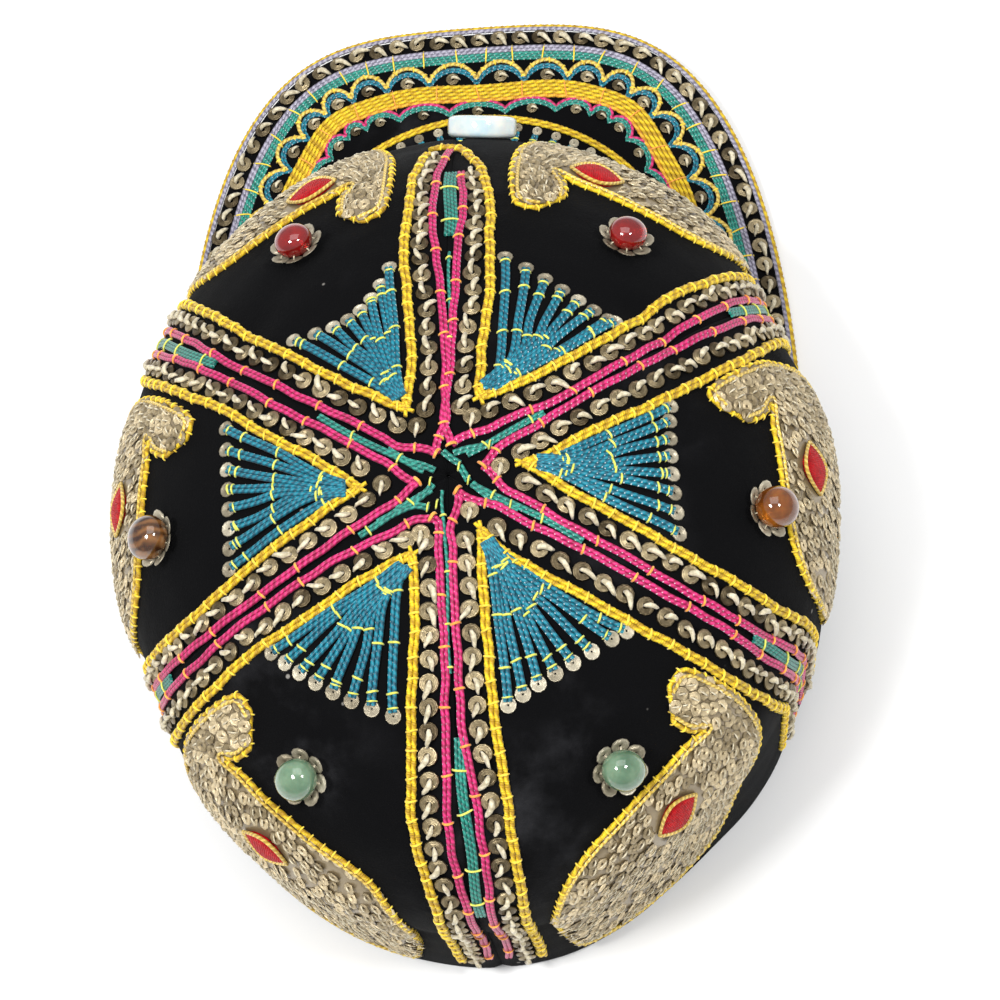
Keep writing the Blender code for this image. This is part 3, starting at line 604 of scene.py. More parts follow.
# Strands laid side by side on the cloth along each line
def couch(lines, look, strands=1, radius=0.5, spread=None, step=0.8, sides=7, pitch=2.8,
          depth=0.0, lift=None):
    lift = radius * 0.8 if lift is None else lift
    edges, count = [], 0
    for at, _ in lines:
        edges += [(count + k, count + k + 1) for k in range(len(at) - 1)]
        count += len(at)
    points = np.concatenate([at + outward * lift for at, outward in lines])
    source = meshObject("strands", points, edges=edges)
    setVectors(source.data, "up", np.concatenate([outward for _, outward in lines]))
    return throughTree(source, couched, {
        "Strands": strands, "Radius": radius * mm, "Spread": (spread or radius * 1.9) * mm,
        "Step": step * mm, "Sides": sides, "Twist Pitch": pitch * mm, "Twist Depth": depth * mm,
        "Material": look})


# One small shape at each place, its top along up and its front along ahead
def sew(shape, look, at, up, ahead, size, grow=None):
    source = meshObject("sewn", at)
    count = len(at)
    setVectors(source.data, "up", up)
    setVectors(source.data, "ahead", ahead)
    setVectors(source.data, "grow", np.ones((count, 3)) if grow is None else grow)
    setNumbers(source.data, "shade", rng.random(count))
    return throughTree(source, sewn, {"Shape": shape, "Size": size * mm, "Material": look})


# The parts as one piece that stands for the CAD nodes
def joined(name, parts, node=None):
    first = parts[0]
    if len(parts) > 1:
        with bpy.context.temp_override(active_object=first, object=first, selected_objects=parts,
                                       selected_editable_objects=parts):
            bpy.ops.object.join()
    first.name = name
    first.data.name = name
    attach(first, "root")
    if node:
        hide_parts(node)


# A closed profile of (radius, height) points turned about Z
def turnedShape(name, profile, sides):
    turn = np.arange(sides) * 2 * math.pi / sides
    points = np.array([(r * math.cos(t), r * math.sin(t), z) for t in turn for r, z in profile])
    count = len(profile)
    faces = []
    for k in range(sides):
        here, there = k * count, (k + 1) % sides * count
        for j in range(count):
            after = (j + 1) % count
            faces.append((here + j, there + j, there + after, here + after))
    made = meshObject(name, points, faces, scale=1.0)
    setNumbers(made.data, "ring", np.hypot(points[:, 0], points[:, 1]))
    return made


# A bent strand through a few points, thin where its radii are small
def tubeShape(name, path, radii, sides=5):
    path = np.asarray(path, float)
    turn = np.arange(sides) * 2 * math.pi / sides
    points, faces = [], []
    for k, centre in enumerate(path):
        ahead = path[min(k + 1, len(path) - 1)] - path[max(k - 1, 0)]
        side = np.cross(ahead, (0.0, 0.0, 1.0))
        side = unit(side) if np.linalg.norm(side) > 1e-6 else np.array([0.0, 1.0, 0.0])
        rise = unit(np.cross(side, ahead))
        points += [centre + radii[k] * (math.cos(t) * side + math.sin(t) * rise) for t in turn]
    for start in range(0, len(points) - sides, sides):
        for k in range(sides):
            a, b = start + k, start + (k + 1) % sides
            faces.append((a, b, b + sides, a + sides))
    faces += [tuple(range(sides))[::-1], tuple(range(len(points)))[-sides:]]
    return meshObject(name, points, faces, scale=1.0)


# Small shapes, about one unit in radius, each used at many places
sequinLook = dict(sides=11, flatSides=11, tinySides=7, tilt=0.30, lean=0.26, leanTo=0.6, sway=0.5,
                  turn=1.3, uneven=0.08, sits=0.25, threadSits=0.1, threadGrows=0.4)
sequinShape = turnedShape("sequin shape", [
    (0.16, 0.08), (0.36, 0.30), (0.46, 0.26), (0.66, 0.33), (0.90, 0.24), (1.0, 0.07), (0.60, 0.04)],
    sequinLook["sides"])
flatSequin = turnedShape("flat sequin shape", [
    (0.14, 0.06), (0.55, 0.11), (0.85, 0.16), (1.0, 0.08), (0.14, 0.0)], sequinLook["flatSides"])
tinySequin = turnedShape("tiny sequin shape", [
    (0.20, 0.08), (0.70, 0.20), (1.0, 0.06), (0.20, 0.0)], sequinLook["tinySides"])
# The comma of thick thread that holds a sequin: out of its hole, over its edge and into the cloth
stitchShape = tubeShape("stitch shape", [
    (-0.16, 0.02, 0.16), (-0.02, 0.06, 0.50), (0.30, 0.10, 0.60), (0.66, 0.0, 0.52),
    (1.0, -0.16, 0.36), (1.24, -0.20, 0.06)], [0.10, 0.20, 0.25, 0.23, 0.17, 0.07])
dashShape = tubeShape("dash shape", [
    (-1.0, 0.0, 0.0), (-0.4, 0.05, 0.32), (0.4, 0.0, 0.34), (1.0, -0.05, 0.0)],
    [0.10, 0.24, 0.24, 0.10], 4)
# A tie goes over the strands from one side to the other
tieShape = tubeShape("tie shape", [
    (0.06 * math.sin(2 * t), -math.cos(t), 0.95 * math.sin(t)) for t in np.linspace(0.0, math.pi, 8)],
    [0.16, 0.20, 0.21, 0.22, 0.22, 0.21, 0.20, 0.16])
shapes = [sequinShape, flatSequin, tinySequin, stitchShape, dashShape, tieShape]
for shape in shapes:
    shape.hide_render = True


# Ties across the strands of each line, a little uneven
def ties(lines, look, every, half, tall, thick, first=0.5, jitter=0.25):
    at, up, ahead = [np.concatenate(parts) for parts in
                     zip(*[evenly(line, every, first) for line in lines])]
    count = len(at)
    at = at + ahead * scatter(count) * every * jitter
    skew = np.cross(up, ahead) * scatter(count) * 0.5
    grow = np.stack([np.full(count, thick / 0.2), np.full(count, half), np.full(count, tall)], -1)
    return sew(tieShape, look, at, up, ahead + skew, 1.0, grow)


# A row of domed sequins, each held by a comma of thread that leads to the next
def sequins(line, spacing, radius, first=0.5):
    at, up, ahead = evenly(line, spacing, first)
    count = len(at)
    side = np.cross(up, ahead)
    tip = unit(up + side * scatter(count) * sequinLook["tilt"]
               + ahead * scatter(count, sequinLook["leanTo"]) * sequinLook["lean"])
    at = at + side * scatter(count) * sequinLook["sway"] + up * sequinLook["sits"]
    turn = scatter(count) * sequinLook["turn"]
    facing = ahead * np.cos(turn) + side * np.sin(turn)
    grow = (1.0 + scatter(count) * sequinLook["uneven"]) * np.ones((1, 3))
    domes = sew(sequinShape, champagne, at, tip, facing, radius, grow)
    wider = [1.0 + sequinLook["threadGrows"] * rng.random(count) for _ in range(2)]
    grow = np.stack([*wider, np.ones(count)], -1)
    return [domes, sew(stitchShape, creamThread, at + up * sequinLook["threadSits"], tip, facing,
                       radius, grow)]


# Sequins that lie as they are told to, with their threads
def placedSequins(at, outward, ahead, radius, thread):
    return [sew(sequinShape, champagne, at, outward, ahead, radius),
            sew(stitchShape, creamThread, at + outward * sequinLook["threadSits"], outward, ahead, thread)]


# Camera, floor and light
cameraLook = dict(azimuth=191.0, elevation=66.5, distance=836.6, roll=-13.5, focal=3519.0,
                  target=(-7.2, 5.8, 60.0), frame=1000.0, sensor=36.0, near=0.05)


# The camera looks down on the cap's back, with the peak at the top of the picture
def camera():
    az, el = math.radians(cameraLook["azimuth"]), math.radians(cameraLook["elevation"])
    roll = math.radians(cameraLook["roll"])
    back = Vector((math.sin(az) * math.cos(el), -math.cos(az) * math.cos(el), math.sin(el)))
    right = Vector((0.0, 0.0, 1.0)).cross(back).normalized()
    up = back.cross(right)
    turnedRight = right * math.cos(roll) + up * math.sin(roll)
    turnedUp = up * math.cos(roll) - right * math.sin(roll)
    data = bpy.data.cameras.new("camera")
    data.sensor_width = cameraLook["sensor"]
    data.lens = cameraLook["focal"] / cameraLook["frame"] * cameraLook["sensor"]
    data.clip_start = cameraLook["near"]
    made = bpy.data.objects.new("camera", data)
    bpy.context.scene.collection.objects.link(made)
    place = (Vector(cameraLook["target"]) + back * cameraLook["distance"]) * mm
    turn = np.array([turnedRight, turnedUp, back]).T
    made.matrix_world = Matrix([[*row, along] for row, along in zip(turn, place)] + [[0, 0, 0, 1]])
    bpy.context.scene.camera = made


stage = dict(floor=rgb(0.84, 0.84, 0.83), world=rgb(0.95, 0.96, 1.0), strength=0.55)


def areaLight(name, place, aim, size, watts):
    data = bpy.data.lights.new(name, "AREA")
    data.shape = "RECTANGLE"
    data.size, data.size_y = size
    data.energy = watts
    made = bpy.data.objects.new(name, data)
    bpy.context.scene.collection.objects.link(made)
    made.location = place
    made.rotation_euler = (Vector(place) - Vector(aim)).to_track_quat("Z", "Y").to_euler()


def studio():
    bpy.ops.mesh.primitive_plane_add(size=6.0, location=(0.0, 0.0, 0.0))
    floor = bpy.context.object
    floor.name = "floor"
    made, n = newMaterial("pale floor")
    n.shader(Base_Color=stage["floor"], Roughness=0.8)
    floor.data.materials.append(made)
    world = bpy.data.worlds.new("studio")
    world.use_nodes = True
    background = world.node_tree.nodes["Background"]
    background.inputs[0].default_value = stage["world"]
    background.inputs[1].default_value = stage["strength"]
    bpy.context.scene.world = world
    bpy.context.scene.view_settings.view_transform = "Standard"
    aim = (0.0, 0.0, 0.06)
    areaLight("window left", (0.50, 0.35, 1.30), aim, (0.34, 0.26), 16.0)
    areaLight("window right", (-0.55, 0.25, 1.20), aim, (0.22, 0.18), 8.0)
    areaLight("soft top", (0.0, -0.35, 1.50), aim, (1.2, 1.0), 8.0)


camera()
studio()
print("camera and light ready")


# The crown's panels and the peak, dense velvet shells with sewn edges
panelLook = dict(columns=52, rows=92, crowd=0.55, topFall=0.4, seamDeep=0.7, seamWide=1.3,
                 rimDeep=0.5, rimWide=1.2, ripple=0.10, hair=0.04)


# A closed shell from an outer and an inner grid, the first look outside and the last inside
def shellObject(name, outer, inner, *looks):
    rows, columns = outer.shape[:2]
    grid = np.arange(rows * columns).reshape(rows, columns)
    corners = (grid[:-1, :-1], grid[:-1, 1:], grid[1:, 1:], grid[1:, :-1])
    fronts = np.stack([corner.ravel() for corner in corners], -1)
    rim = np.concatenate([grid[0], grid[1:, -1], grid[-1, -2::-1], grid[-2:0:-1, 0]])
    after = np.roll(rim, -1)
    edges = np.stack([after, rim, rim + grid.size, after + grid.size], -1)
    faces = np.concatenate([fronts, fronts[:, [0, 3, 2, 1]] + grid.size, edges]).tolist()
    made = meshObject(name, np.concatenate([outer.reshape(-1, 3), inner.reshape(-1, 3)]), faces)
    mesh, count = made.data, len(fronts)
    outward = (outer - inner)[rows // 2, columns // 2]
    if np.dot(np.array(mesh.polygons[count // 2].normal), outward) < 0:
        mesh.flip_normals()
    for look in looks:
        mesh.materials.append(look)
    used = np.zeros(len(mesh.polygons), int)
    used[count:2 * count] = len(looks) - 1
    mesh.polygons.foreach_set("material_index", used)
    return made


def crownPanel(index):
    name = "crown_" + panels[index]
    low, high = seams[index], seams[index + 1]
    across = np.linspace(0.0, 1.0, panelLook["columns"])
    across = (0.5 - 0.5 * np.cos(across * np.pi) * panelLook["crowd"]
              + (across - 0.5) * (1.0 - panelLook["crowd"]))
    bearings = low + (high - low) * across
    rimFalls = np.array([fallAt(b, rimHeight(b)) for b in bearings])
    down = np.linspace(0.0, 1.0, panelLook["rows"]) ** 0.9
    falls = panelLook["topFall"] + (rimFalls[None, :] - panelLook["topFall"]) * down[:, None]
    spread = np.broadcast_to(bearings, falls.shape)
    outer, outward = onCrown(spread, falls)
    reach = sample(crownReach, spread, falls)[..., 0]
    seamAway = np.minimum(np.abs(spread - low), np.abs(spread - high)) * np.pi / 180 * reach
    sunk = panelLook["seamDeep"] * np.exp(-(seamAway / panelLook["seamWide"]) ** 2)
    sunk += panelLook["rimDeep"] * np.exp(-((rimFalls[None, :] - falls) / panelLook["rimWide"]) ** 2)
    ripple = panelLook["ripple"] * (np.sin(falls * 0.41 + spread * 0.23)
                                    * np.sin(spread * 0.31 - falls * 0.13))
    outer = outer - outward * (sunk - ripple)[..., None]
    inner = outer - outward * (crown["cloth"] - sunk * 0.6)[..., None]
    # a hair of room at each seam, so that the panels do not share a face
    middle = 0.5 * (low + high)
    hair = np.sign(middle - spread)[..., None] * panelLook["hair"] * (seamAway < 0.5)[..., None]
    sideways = unit(np.gradient(outer, axis=1)) * hair
    made = shellObject(name + "_velvet", outer + sideways, inner + sideways, velvet, clothBack)
    joined(name + "_velvet", [made], name)


for index in range(6):
    crownPanel(index)
print("crown panels made")


peakLook = dict(columns=150, rows=40, gap=0.8, edgeDeep=1.1, edgeWide=1.3, ripple=0.06)


def peakPiece():
    columns, rows = peakLook["columns"], peakLook["rows"]
    outer = peakEdge(np.linspace(peakShape["start"], 180.0 - peakShape["start"], columns))
    bearings = peakShape["root"] * np.linspace(-1.0, 1.0, columns)
    inside = 1.0 - peakLook["gap"] / crown["frontLength"]
    feet = np.array([crownLine(float(b % 360.0))[int(fallAt(b, 1.0))][:2] * inside for b in bearings])
    share = np.linspace(0.0, 1.0, rows)[:, None, None]
    flat = feet[None] * (1 - share) + outer[None] * share
    top, outward = onPeakAt(flat[..., 0], flat[..., 1])
    edgeAway = (1 - share[..., 0]) * np.linalg.norm(outer - feet, axis=-1)[None]
    bent = 1 - np.clip(edgeAway / peakLook["edgeWide"], 0, 1)
    rounded = peakLook["edgeDeep"] * (1 - np.sqrt(np.clip(1 - bent ** 2, 0, 1)))
    ripple = peakLook["ripple"] * np.sin(flat[..., 0] * 0.33) * np.sin(flat[..., 1] * 0.27)
    upper = top - outward * (rounded - ripple)[..., None]
    lower = top - outward * (peakShape["thickness"] - rounded)[..., None]
    joined("peak_velvet", [shellObject("peak_velvet", upper, lower, velvet, clothBack)], "peak")


peakPiece()
print("peak made")


# The bands between the panels. Each panel has a yellow line, a sequin row and a pink line down
# both of its seams, the one with the smaller bearing first, at these distances from the seam, read
# at every bandStep down from the top.
bandStep = 15.0
bandRows = dict(
    front_right=[
        dict(end=96.0, yellow=[7.0, 8.0, 10.0, 10.0, 10.0, 8.0, 4.5],
             pink=[-0.5, 1.2, 2.0, 2.4, 3.6, 2.6, 2.2]),
        dict(end=165.0, yellow=[11.0, 9.0, 8.0, 8.6, 10.0, 9.5, 9.2],
             pink=[4.0, 1.2, 1.0, 1.2, 2.0, 2.8, 2.6, 2.5]),
    ],
    side_right=[
        dict(end=165.0, yellow=[8.6, 9.2, 11.0, 11.6, 11.6, 11.0, 9.6, 9.2],
             pink=[1.4, 1.5, 1.7, 1.9, 2.2, 2.4, 2.6, 2.6]),
        dict(end=158.0, yellow=[10.0, 9.5, 9.2, 9.0, 9.0, 9.2, 10.0, 9.4],
             pink=[3.0, 2.2, 1.8, 1.4, 1.2, 2.0, 2.6, 2.6]),
    ],
    back_right=[
        dict(end=158.0, yellow=[9.8, 10.8, 11.0, 11.4, 11.6, 11.6, 11.2, 10.0],
             pink=[1.8, 1.4, 1.4, 1.8, 2.0, 3.0, 2.8, 2.6]),
        dict(end=166.0, yellow=[6.8, 7.4, 7.8, 8.8, 10.0, 10.8, 11.0, 10.8, 10.4, 10.6, 10.6],
             pink=[0.6, 0.9, 1.0, 1.4, 3.4, 4.2, 3.6, 3.8, 3.8, 3.4, 2.8]),
    ],
    back_left=[
        dict(end=166.0, yellow=[8.2, 7.8, 9.0, 10.0, 11.2, 10.4, 8.2, 8.4, 9.0, 9.0, 8.6],
             pink=[2.4, 2.0, 1.8, 2.4, 3.2, 3.0, 1.2, 1.0, 1.2, 1.6, 2.0]),
        dict(end=158.0, yellow=[11.5, 10.2, 10.0, 9.4, 10.6, 11.6, 11.6, 10.4],
             pink=[5.0, 2.8, 2.0, 2.2, 3.0, 3.2, 3.0, 2.8]),
    ],
    side_left=[
        dict(end=158.0, yellow=[9.2, 8.6, 8.8, 7.2, 6.8, 7.2, 8.0, 8.8],
             pink=[1.2, 1.2, 1.2, 1.0, 1.0, 1.6, 2.2, 2.4]),
        dict(end=165.0, yellow=[12.0, 11.0, 10.6, 9.6, 10.2, 10.6, 10.6, 10.0],
             pink=[4.2, 3.8, 3.6, 3.0, 3.0, 3.4, 3.4, 3.0]),
    ],
    front_left=[
        dict(end=165.0, yellow=[9.0, 8.2, 8.4, 8.6, 9.4, 10.2, 10.6, 10.2],
             pink=[0.8, 0.8, 0.8, 0.8, 1.4, 2.4, 3.0, 3.0]),
        dict(end=107.0, yellow=[9.0, 7.8, 8.6, 10.2, 9.4, 9.2, 6.4],
             pink=[0.2, 0.2, 0.8, 2.6, 3.8, 3.4, 1.2]),
    ],
)
arms = [dict(row, panel=panel, side=side, seam=seams[index + (side < 0)])
        for index, panel in enumerate(panels) for side, row in zip((1, -1), bandRows[panel])]
# Where each panel's yellow point and pink knot are, as bearing and fall
panelTips = dict(
    front_right=dict(yellow=(23.0, 20.0), pink=(8.0, 7.0)),
    side_right=dict(yellow=(85.0, 17.0), pink=(80.0, 8.0)),
    back_right=dict(yellow=(153.0, 15.5), pink=(153.0, 5.0)),
    back_left=dict(yellow=(204.0, 20.5), pink=(198.0, 11.0)),
    side_left=dict(yellow=(264.0, 20.0), pink=(256.0, 7.0)),
    front_left=dict(yellow=(331.0, 19.0), pink=(334.0, 5.5)),
)
frontArch = [(101.0, 4.2), (106.0, 2.6), (109.5, -0.4), (110.5, -3.4), (109.0, -5.8)]
bandLook = dict(step=5.0, rimGap=2.4, sequinRimGap=3.4, yellowRadius=0.58, pinkRadius=0.50,
                sequinRadius=2.28, sequinPitch=5.3, tieEvery=5.2, pinkTieEvery=13.0, tealRadius=0.42,
                yellowStart=21.0, pinkStart=12.0, tipSequin=5.2)


# Places down an arm, every so many millimetres from a start
def stepsDown(arm, start):
    return np.arange(start, arm["end"] + 0.1, bandLook["step"])


# How far from the seam an arm's table of distances puts its line
def awayAt(arm, key, along):
    return np.interp(along, bandStep * (1 + np.arange(len(arm[key]))), arm[key])


# The part of a route that stops short of the crown's rim
def rimClear(route, margin):
    keep = [k for k, (b, f) in enumerate(route) if f < fallAt(b, rimHeight(b)) - margin]
    return route[keep]


# One cord's way from the panel's tip down beside a seam, as bearings and falls
def bandRoute(arm, key, start, tip):
    along = stepsDown(arm, start)
    wobble = 0.16 * np.sin(along * 0.55 + arm["seam"]) + 0.12 * np.sin(along * 0.23 + 2.0 * arm["side"])
    away = awayAt(arm, key, along) + wobble
    route = np.stack([*onBand(arm["seam"], along, arm["side"] * away)], -1)
    bearing = arm["seam"] + wrapped(tip[0] - arm["seam"])
    return rimClear(np.concatenate([[[bearing, tip[1]]], route]), bandLook["rimGap"])


# A smooth line over the crown through bearings and falls
def clothLine(route, step=1.6):
    fine = smooth(route, step)
    return onCrown(fine[:, 0], fine[:, 1])


# A sequin row runs halfway between the yellow and the pink cord
def rowLine(arm, start):
    along = stepsDown(arm, start)
    outer = awayAt(arm, "yellow", along) - 2 * bandLook["yellowRadius"]
    inner = awayAt(arm, "pink", along) + 2 * bandLook["pinkRadius"]
    route = np.stack([*onBand(arm["seam"], along, arm["side"] * (outer + inner) / 2)], -1)
    return rimClear(route, bandLook["sequinRimGap"])


def yellowCords(panel, sides):
    tip = panelTips[panel]["yellow"]
    routes = [bandRoute(arm, "yellow", bandLook["yellowStart"], tip) for arm in sides]
    if panel == "front_right":
        # the middle band is closed by an arch over its front end
        arch = np.array(frontArch)
        routes[0] = np.concatenate([routes[0], np.stack(onBand(0.0, arch[:, 0], arch[:, 1]), -1)])
    lines = [clothLine(route) for route in routes]
    parts = [couch(lines, yellowRope, strands=2, radius=bandLook["yellowRadius"], step=0.55, depth=0.10),
             ties(lines, yellowTie, every=bandLook["tieEvery"], half=1.26, tall=1.30, thick=0.26)]
    for line in lines:
        at, up, ahead = evenly(line, 400.0, 0.001)
        parts.append(couch([(line[0][:3] - ahead[0] * np.array([[2.0], [1.2], [0.4]]), line[1][:3])],
                           yellowRope, radius=0.5, step=0.5, lift=0.6))
    joined("yellow_cord_" + panel, parts, "edge_cord_" + panel)


def pinkCords(panel, sides):
    tip = panelTips[panel]["pink"]
    lines = [clothLine(bandRoute(arm, "pink", bandLook["pinkStart"], tip)) for arm in sides]
    parts = [couch(lines, pinkCord, strands=2, radius=bandLook["pinkRadius"]),
             ties(lines, orangeTie, every=bandLook["pinkTieEvery"], half=1.20, tall=1.15, thick=0.30,
                  first=0.42)]
    at, outward = onCrown(np.array([tip[0]]), np.array([tip[1]]), 0.5)
    ahead = unit(np.gradient(lines[0][0], axis=0)[:1])
    grow = np.array([[1.9, 1.25, 1.35]])
    parts.append(sew(tieShape, orangeTie, at - ahead * 0.2, outward, ahead, 1.0, grow))
    joined("pink_cords_" + panel, parts, "pink_cord_" + panel)


def sequinRow(panel, sides):
    parts = []
    for arm in sides:
        line = clothLine(rowLine(arm, 15.0 if panel != "side_left" else 17.0))
        parts += sequins(line, bandLook["sequinPitch"], bandLook["sequinRadius"], first=0.2)
    bearing, fall = panelTips[panel]["yellow"]
    at, outward = onCrown(np.array([bearing]), np.array([fall - bandLook["tipSequin"]]), 0.3)
    ahead = np.cross(outward, np.array([[1.0, 0.0, 0.0]]))
    parts += placedSequins(at, outward, ahead, bandLook["sequinRadius"], bandLook["sequinRadius"])
    joined("sequins_" + panel, parts, "sequin_row_" + panel)


for panel in panels:
    sides = [arm for arm in arms if arm["panel"] == panel]
    yellowCords(panel, sides)
    pinkCords(panel, sides)
    sequinRow(panel, sides)
print("bands made")


# The turquoise strands between the pink ones: each seam's reach along it and how far to its side
tealRuns = [
    dict(seam=0.0, run=(66.0, 92.0), side=(0.6, 0.2), strands=4),
    dict(seam=0.0, run=(28.0, 60.0), side=(0.7, 0.8), strands=1),
    dict(seam=58.2, run=(6.0, 26.0), side=(-1.6, 0.2), strands=2),
    dict(seam=58.2, run=(88.0, 150.0), side=(-0.2, 0.0), strands=3),
    dict(seam=121.7, run=(6.0, 34.0), side=(-0.6, -0.4), strands=2),
    dict(seam=121.7, run=(82.0, 140.0), side=(0.4, 0.0), strands=3),
    dict(seam=180.0, run=(4.0, 46.0), side=(1.0, 0.6), strands=1),
    dict(seam=180.0, run=(60.0, 108.0), side=(-0.4, -1.4), strands=3),
    dict(seam=238.3, run=(5.0, 24.0), side=(-1.4, -0.8), strands=2),
    dict(seam=238.3, run=(86.0, 140.0), side=(-0.6, 0.0), strands=3),
    dict(seam=301.8, run=(5.0, 34.0), side=(-2.2, -1.6), strands=2),
    dict(seam=301.8, run=(70.0, 150.0), side=(-1.0, 0.0), strands=3),
]
centreLoops = [
    [(350.0, 5.5), (8.0, 4.0), (30.0, 3.4), (52.0, 3.6)],
    [(16.0, 5.0), (36.0, 7.0), (50.0, 9.5), (56.0, 12.0)],
    [(59.0, 3.2), (90.0, 3.6), (114.0, 5.0)],
    [(116.0, 6.0), (122.0, 8.5), (124.0, 12.5), (121.0, 18.0)],
    [(234.0, 4.0), (229.0, 7.0), (231.0, 10.0), (236.0, 14.0)],
    [(208.0, 9.0), (226.0, 10.4), (233.0, 14.0), (236.0, 19.0)],
    [(288.0, 3.0), (293.0, 6.0), (292.0, 10.0), (297.0, 15.0)],
]
limeKnots = [
    (59.0, 3.0), (112.0, 5.0), (246.0, 4.2), (210.0, 9.0), (199.0, 7.6), (56.0, 11.5), (121.0, 16.0),
]


def tealStrands():
    for run in tealRuns:
        along = np.linspace(*run["run"], 8)
        away = np.linspace(*run["side"], 8) + 0.3 * np.sin(along * 0.2)
        line = clothLine(np.stack([*onBand(run["seam"], along, away)], -1))
        name = "teal_%03d_%03d" % (int(run["seam"]), int(run["run"][0]))
        parts = [couch([line], greenCord, strands=run["strands"], radius=bandLook["tealRadius"],
                       step=0.9, sides=6)]
        parts.append(ties([line], limeTie, every=12.0, half=0.5 * run["strands"] + 0.25, tall=1.0,
                          thick=0.26))
        joined(name, parts)
    lines = []
    for loop in centreLoops:
        flat = np.array([(f * math.sin(math.radians(b)), f * math.cos(math.radians(b))) for b, f in loop])
        fine = smooth(flat, 0.5)
        bearing, fall = np.degrees(np.arctan2(fine[:, 0], fine[:, 1])), np.hypot(fine[:, 0], fine[:, 1])
        lines.append(onCrown(bearing, fall))
    at, outward = onCrown(*np.array(limeKnots).T, 0.2)
    ahead = np.cross(outward, np.array([[0.3, 1.0, 0.0]]))
    parts = [couch(lines, greenCord, strands=2, radius=bandLook["tealRadius"], step=0.5, sides=6),
             sew(tieShape, limeTie, at, outward, ahead, 1.0, np.full((len(at), 3), 1.1))]
    joined("teal_centre", parts)


tealStrands()
print("teal strands made")


# Fans: turquoise rays from each yellow point, a flat sequin at each ray's tip
fans = dict(
    front_right=dict(first=(14.0, 59.0), middle=(33.0, 54.0), last=(49.0, 55.0)),
    side_right=dict(first=(73.0, 53.5), middle=(90.0, 50.0), last=(108.0, 53.0)),
    back_right=dict(first=(134.0, 53.0), middle=(153.0, 51.0), last=(168.0, 54.0)),
    back_left=dict(first=(194.0, 55.5), middle=(211.0, 54.5), last=(226.0, 55.5)),
    side_left=dict(first=(250.0, 54.0), middle=(268.0, 51.5), last=(287.0, 56.0)),
    front_left=dict(first=(316.0, 53.0), middle=(333.0, 48.0), last=(346.0, 58.0)),
)
# The rays leave the yellow point as a bundle, part at the fork and bow outwards below it
fanLook = dict(rays=8, strand=0.54, sequin=1.95, tieEvery=11.0, clear=2.35, bundle=3.0, fork=5.0,
               forkDeep=13.0, forkWide=0.30, bow=0.72, bowDown=0.45, uneven=0.4, raised=0.35)


# Moves a ray's places off the yellow line beside them, but not past the fan's middle
def insideYellow(arm, route, middle):
    reach = sample(crownReach, np.full(len(route), arm["seam"]), route[:, 1])[..., 0]
    given = arm["side"] * wrapped(route[:, 0] - arm["seam"])
    angle = np.radians(given) * reach / route[:, 1]
    along, across = route[:, 1] * np.cos(angle), route[:, 1] * np.sin(angle)
    least = awayAt(arm, "yellow", along) + fanLook["clear"]
    moved, _ = onBand(arm["seam"], along, arm["side"] * np.maximum(across, least))
    turn = np.maximum(given, np.minimum(arm["side"] * wrapped(moved - arm["seam"]),
                                        arm["side"] * wrapped(middle - arm["seam"])))
    return np.stack([arm["seam"] + arm["side"] * turn, route[:, 1]], -1)


def fanPiece(panel):
    fan, tip = fans[panel], panelTips[panel]["yellow"]
    sides = [arm for arm in arms if arm["panel"] == panel]
    lines, tips = [], []
    middle = fan["middle"][0]
    for k in range(fanLook["rays"]):
        t = k / (fanLook["rays"] - 1)
        ends = np.array([fan["first"], fan["middle"], fan["last"]])
        weights = np.array([2 * (t - 0.5) * (t - 1), 4 * t * (1 - t), 2 * t * (t - 0.5)])
        end = weights @ ends
        off = 2 * t - 1
        # the middle rays leave the bundle further down than the outer ones
        root = tip[0] + off * fanLook["bundle"]
        fork = tip[1] + fanLook["fork"] + fanLook["forkDeep"] * (1 - abs(off)) ** 0.7
        spread = fanLook["forkWide"] * (end[0] - middle)
        route = np.array([
            (root, tip[1] + 3.0), (middle + spread * 0.9 + off * 1.4, fork),
            (middle + (end[0] - middle) * fanLook["bow"], fork + (end[1] - fork) * fanLook["bowDown"]),
            (end[0], end[1])])
        route[:, 0] += np.array([0.0, 0.0, fanLook["uneven"], 0.0]) * math.sin(k * 2.3)
        route[1:] = insideYellow(sides[0 if off < 0 else 1], route[1:], root)
        lines.append(clothLine(route, 1.4))
        at, outward = lines[-1]
        tips.append((at[-1], outward[-1], at[-1] - at[-3]))
    raised = [shifted(line, 0.0, fanLook["raised"] * (k % 2)) for k, line in enumerate(lines)]
    parts = [couch(raised, tealCord, strands=2, radius=fanLook["strand"], step=0.8, sides=7),
             ties(raised, limeTie, every=fanLook["tieEvery"], half=1.25, tall=1.20, thick=0.27, first=0.62)]
    at, outward, ahead = [np.array(part) for part in zip(*tips)]
    ahead = unit(ahead)
    centres = at + ahead * 0.7 + outward * 0.15
    parts.append(sew(flatSequin, pearly, centres, outward + ahead * 0.08, ahead, fanLook["sequin"]))
    ends = np.full((len(at), 3), 1.15)
    parts.append(sew(tieShape, limeTie, at - ahead * 1.0 + outward * 0.2, outward, ahead, 1.0, ends))
    joined("fan_rays_" + panel, parts, "fan_" + panel)


for panel in panels:
    fanPiece(panel)
print("fans made")


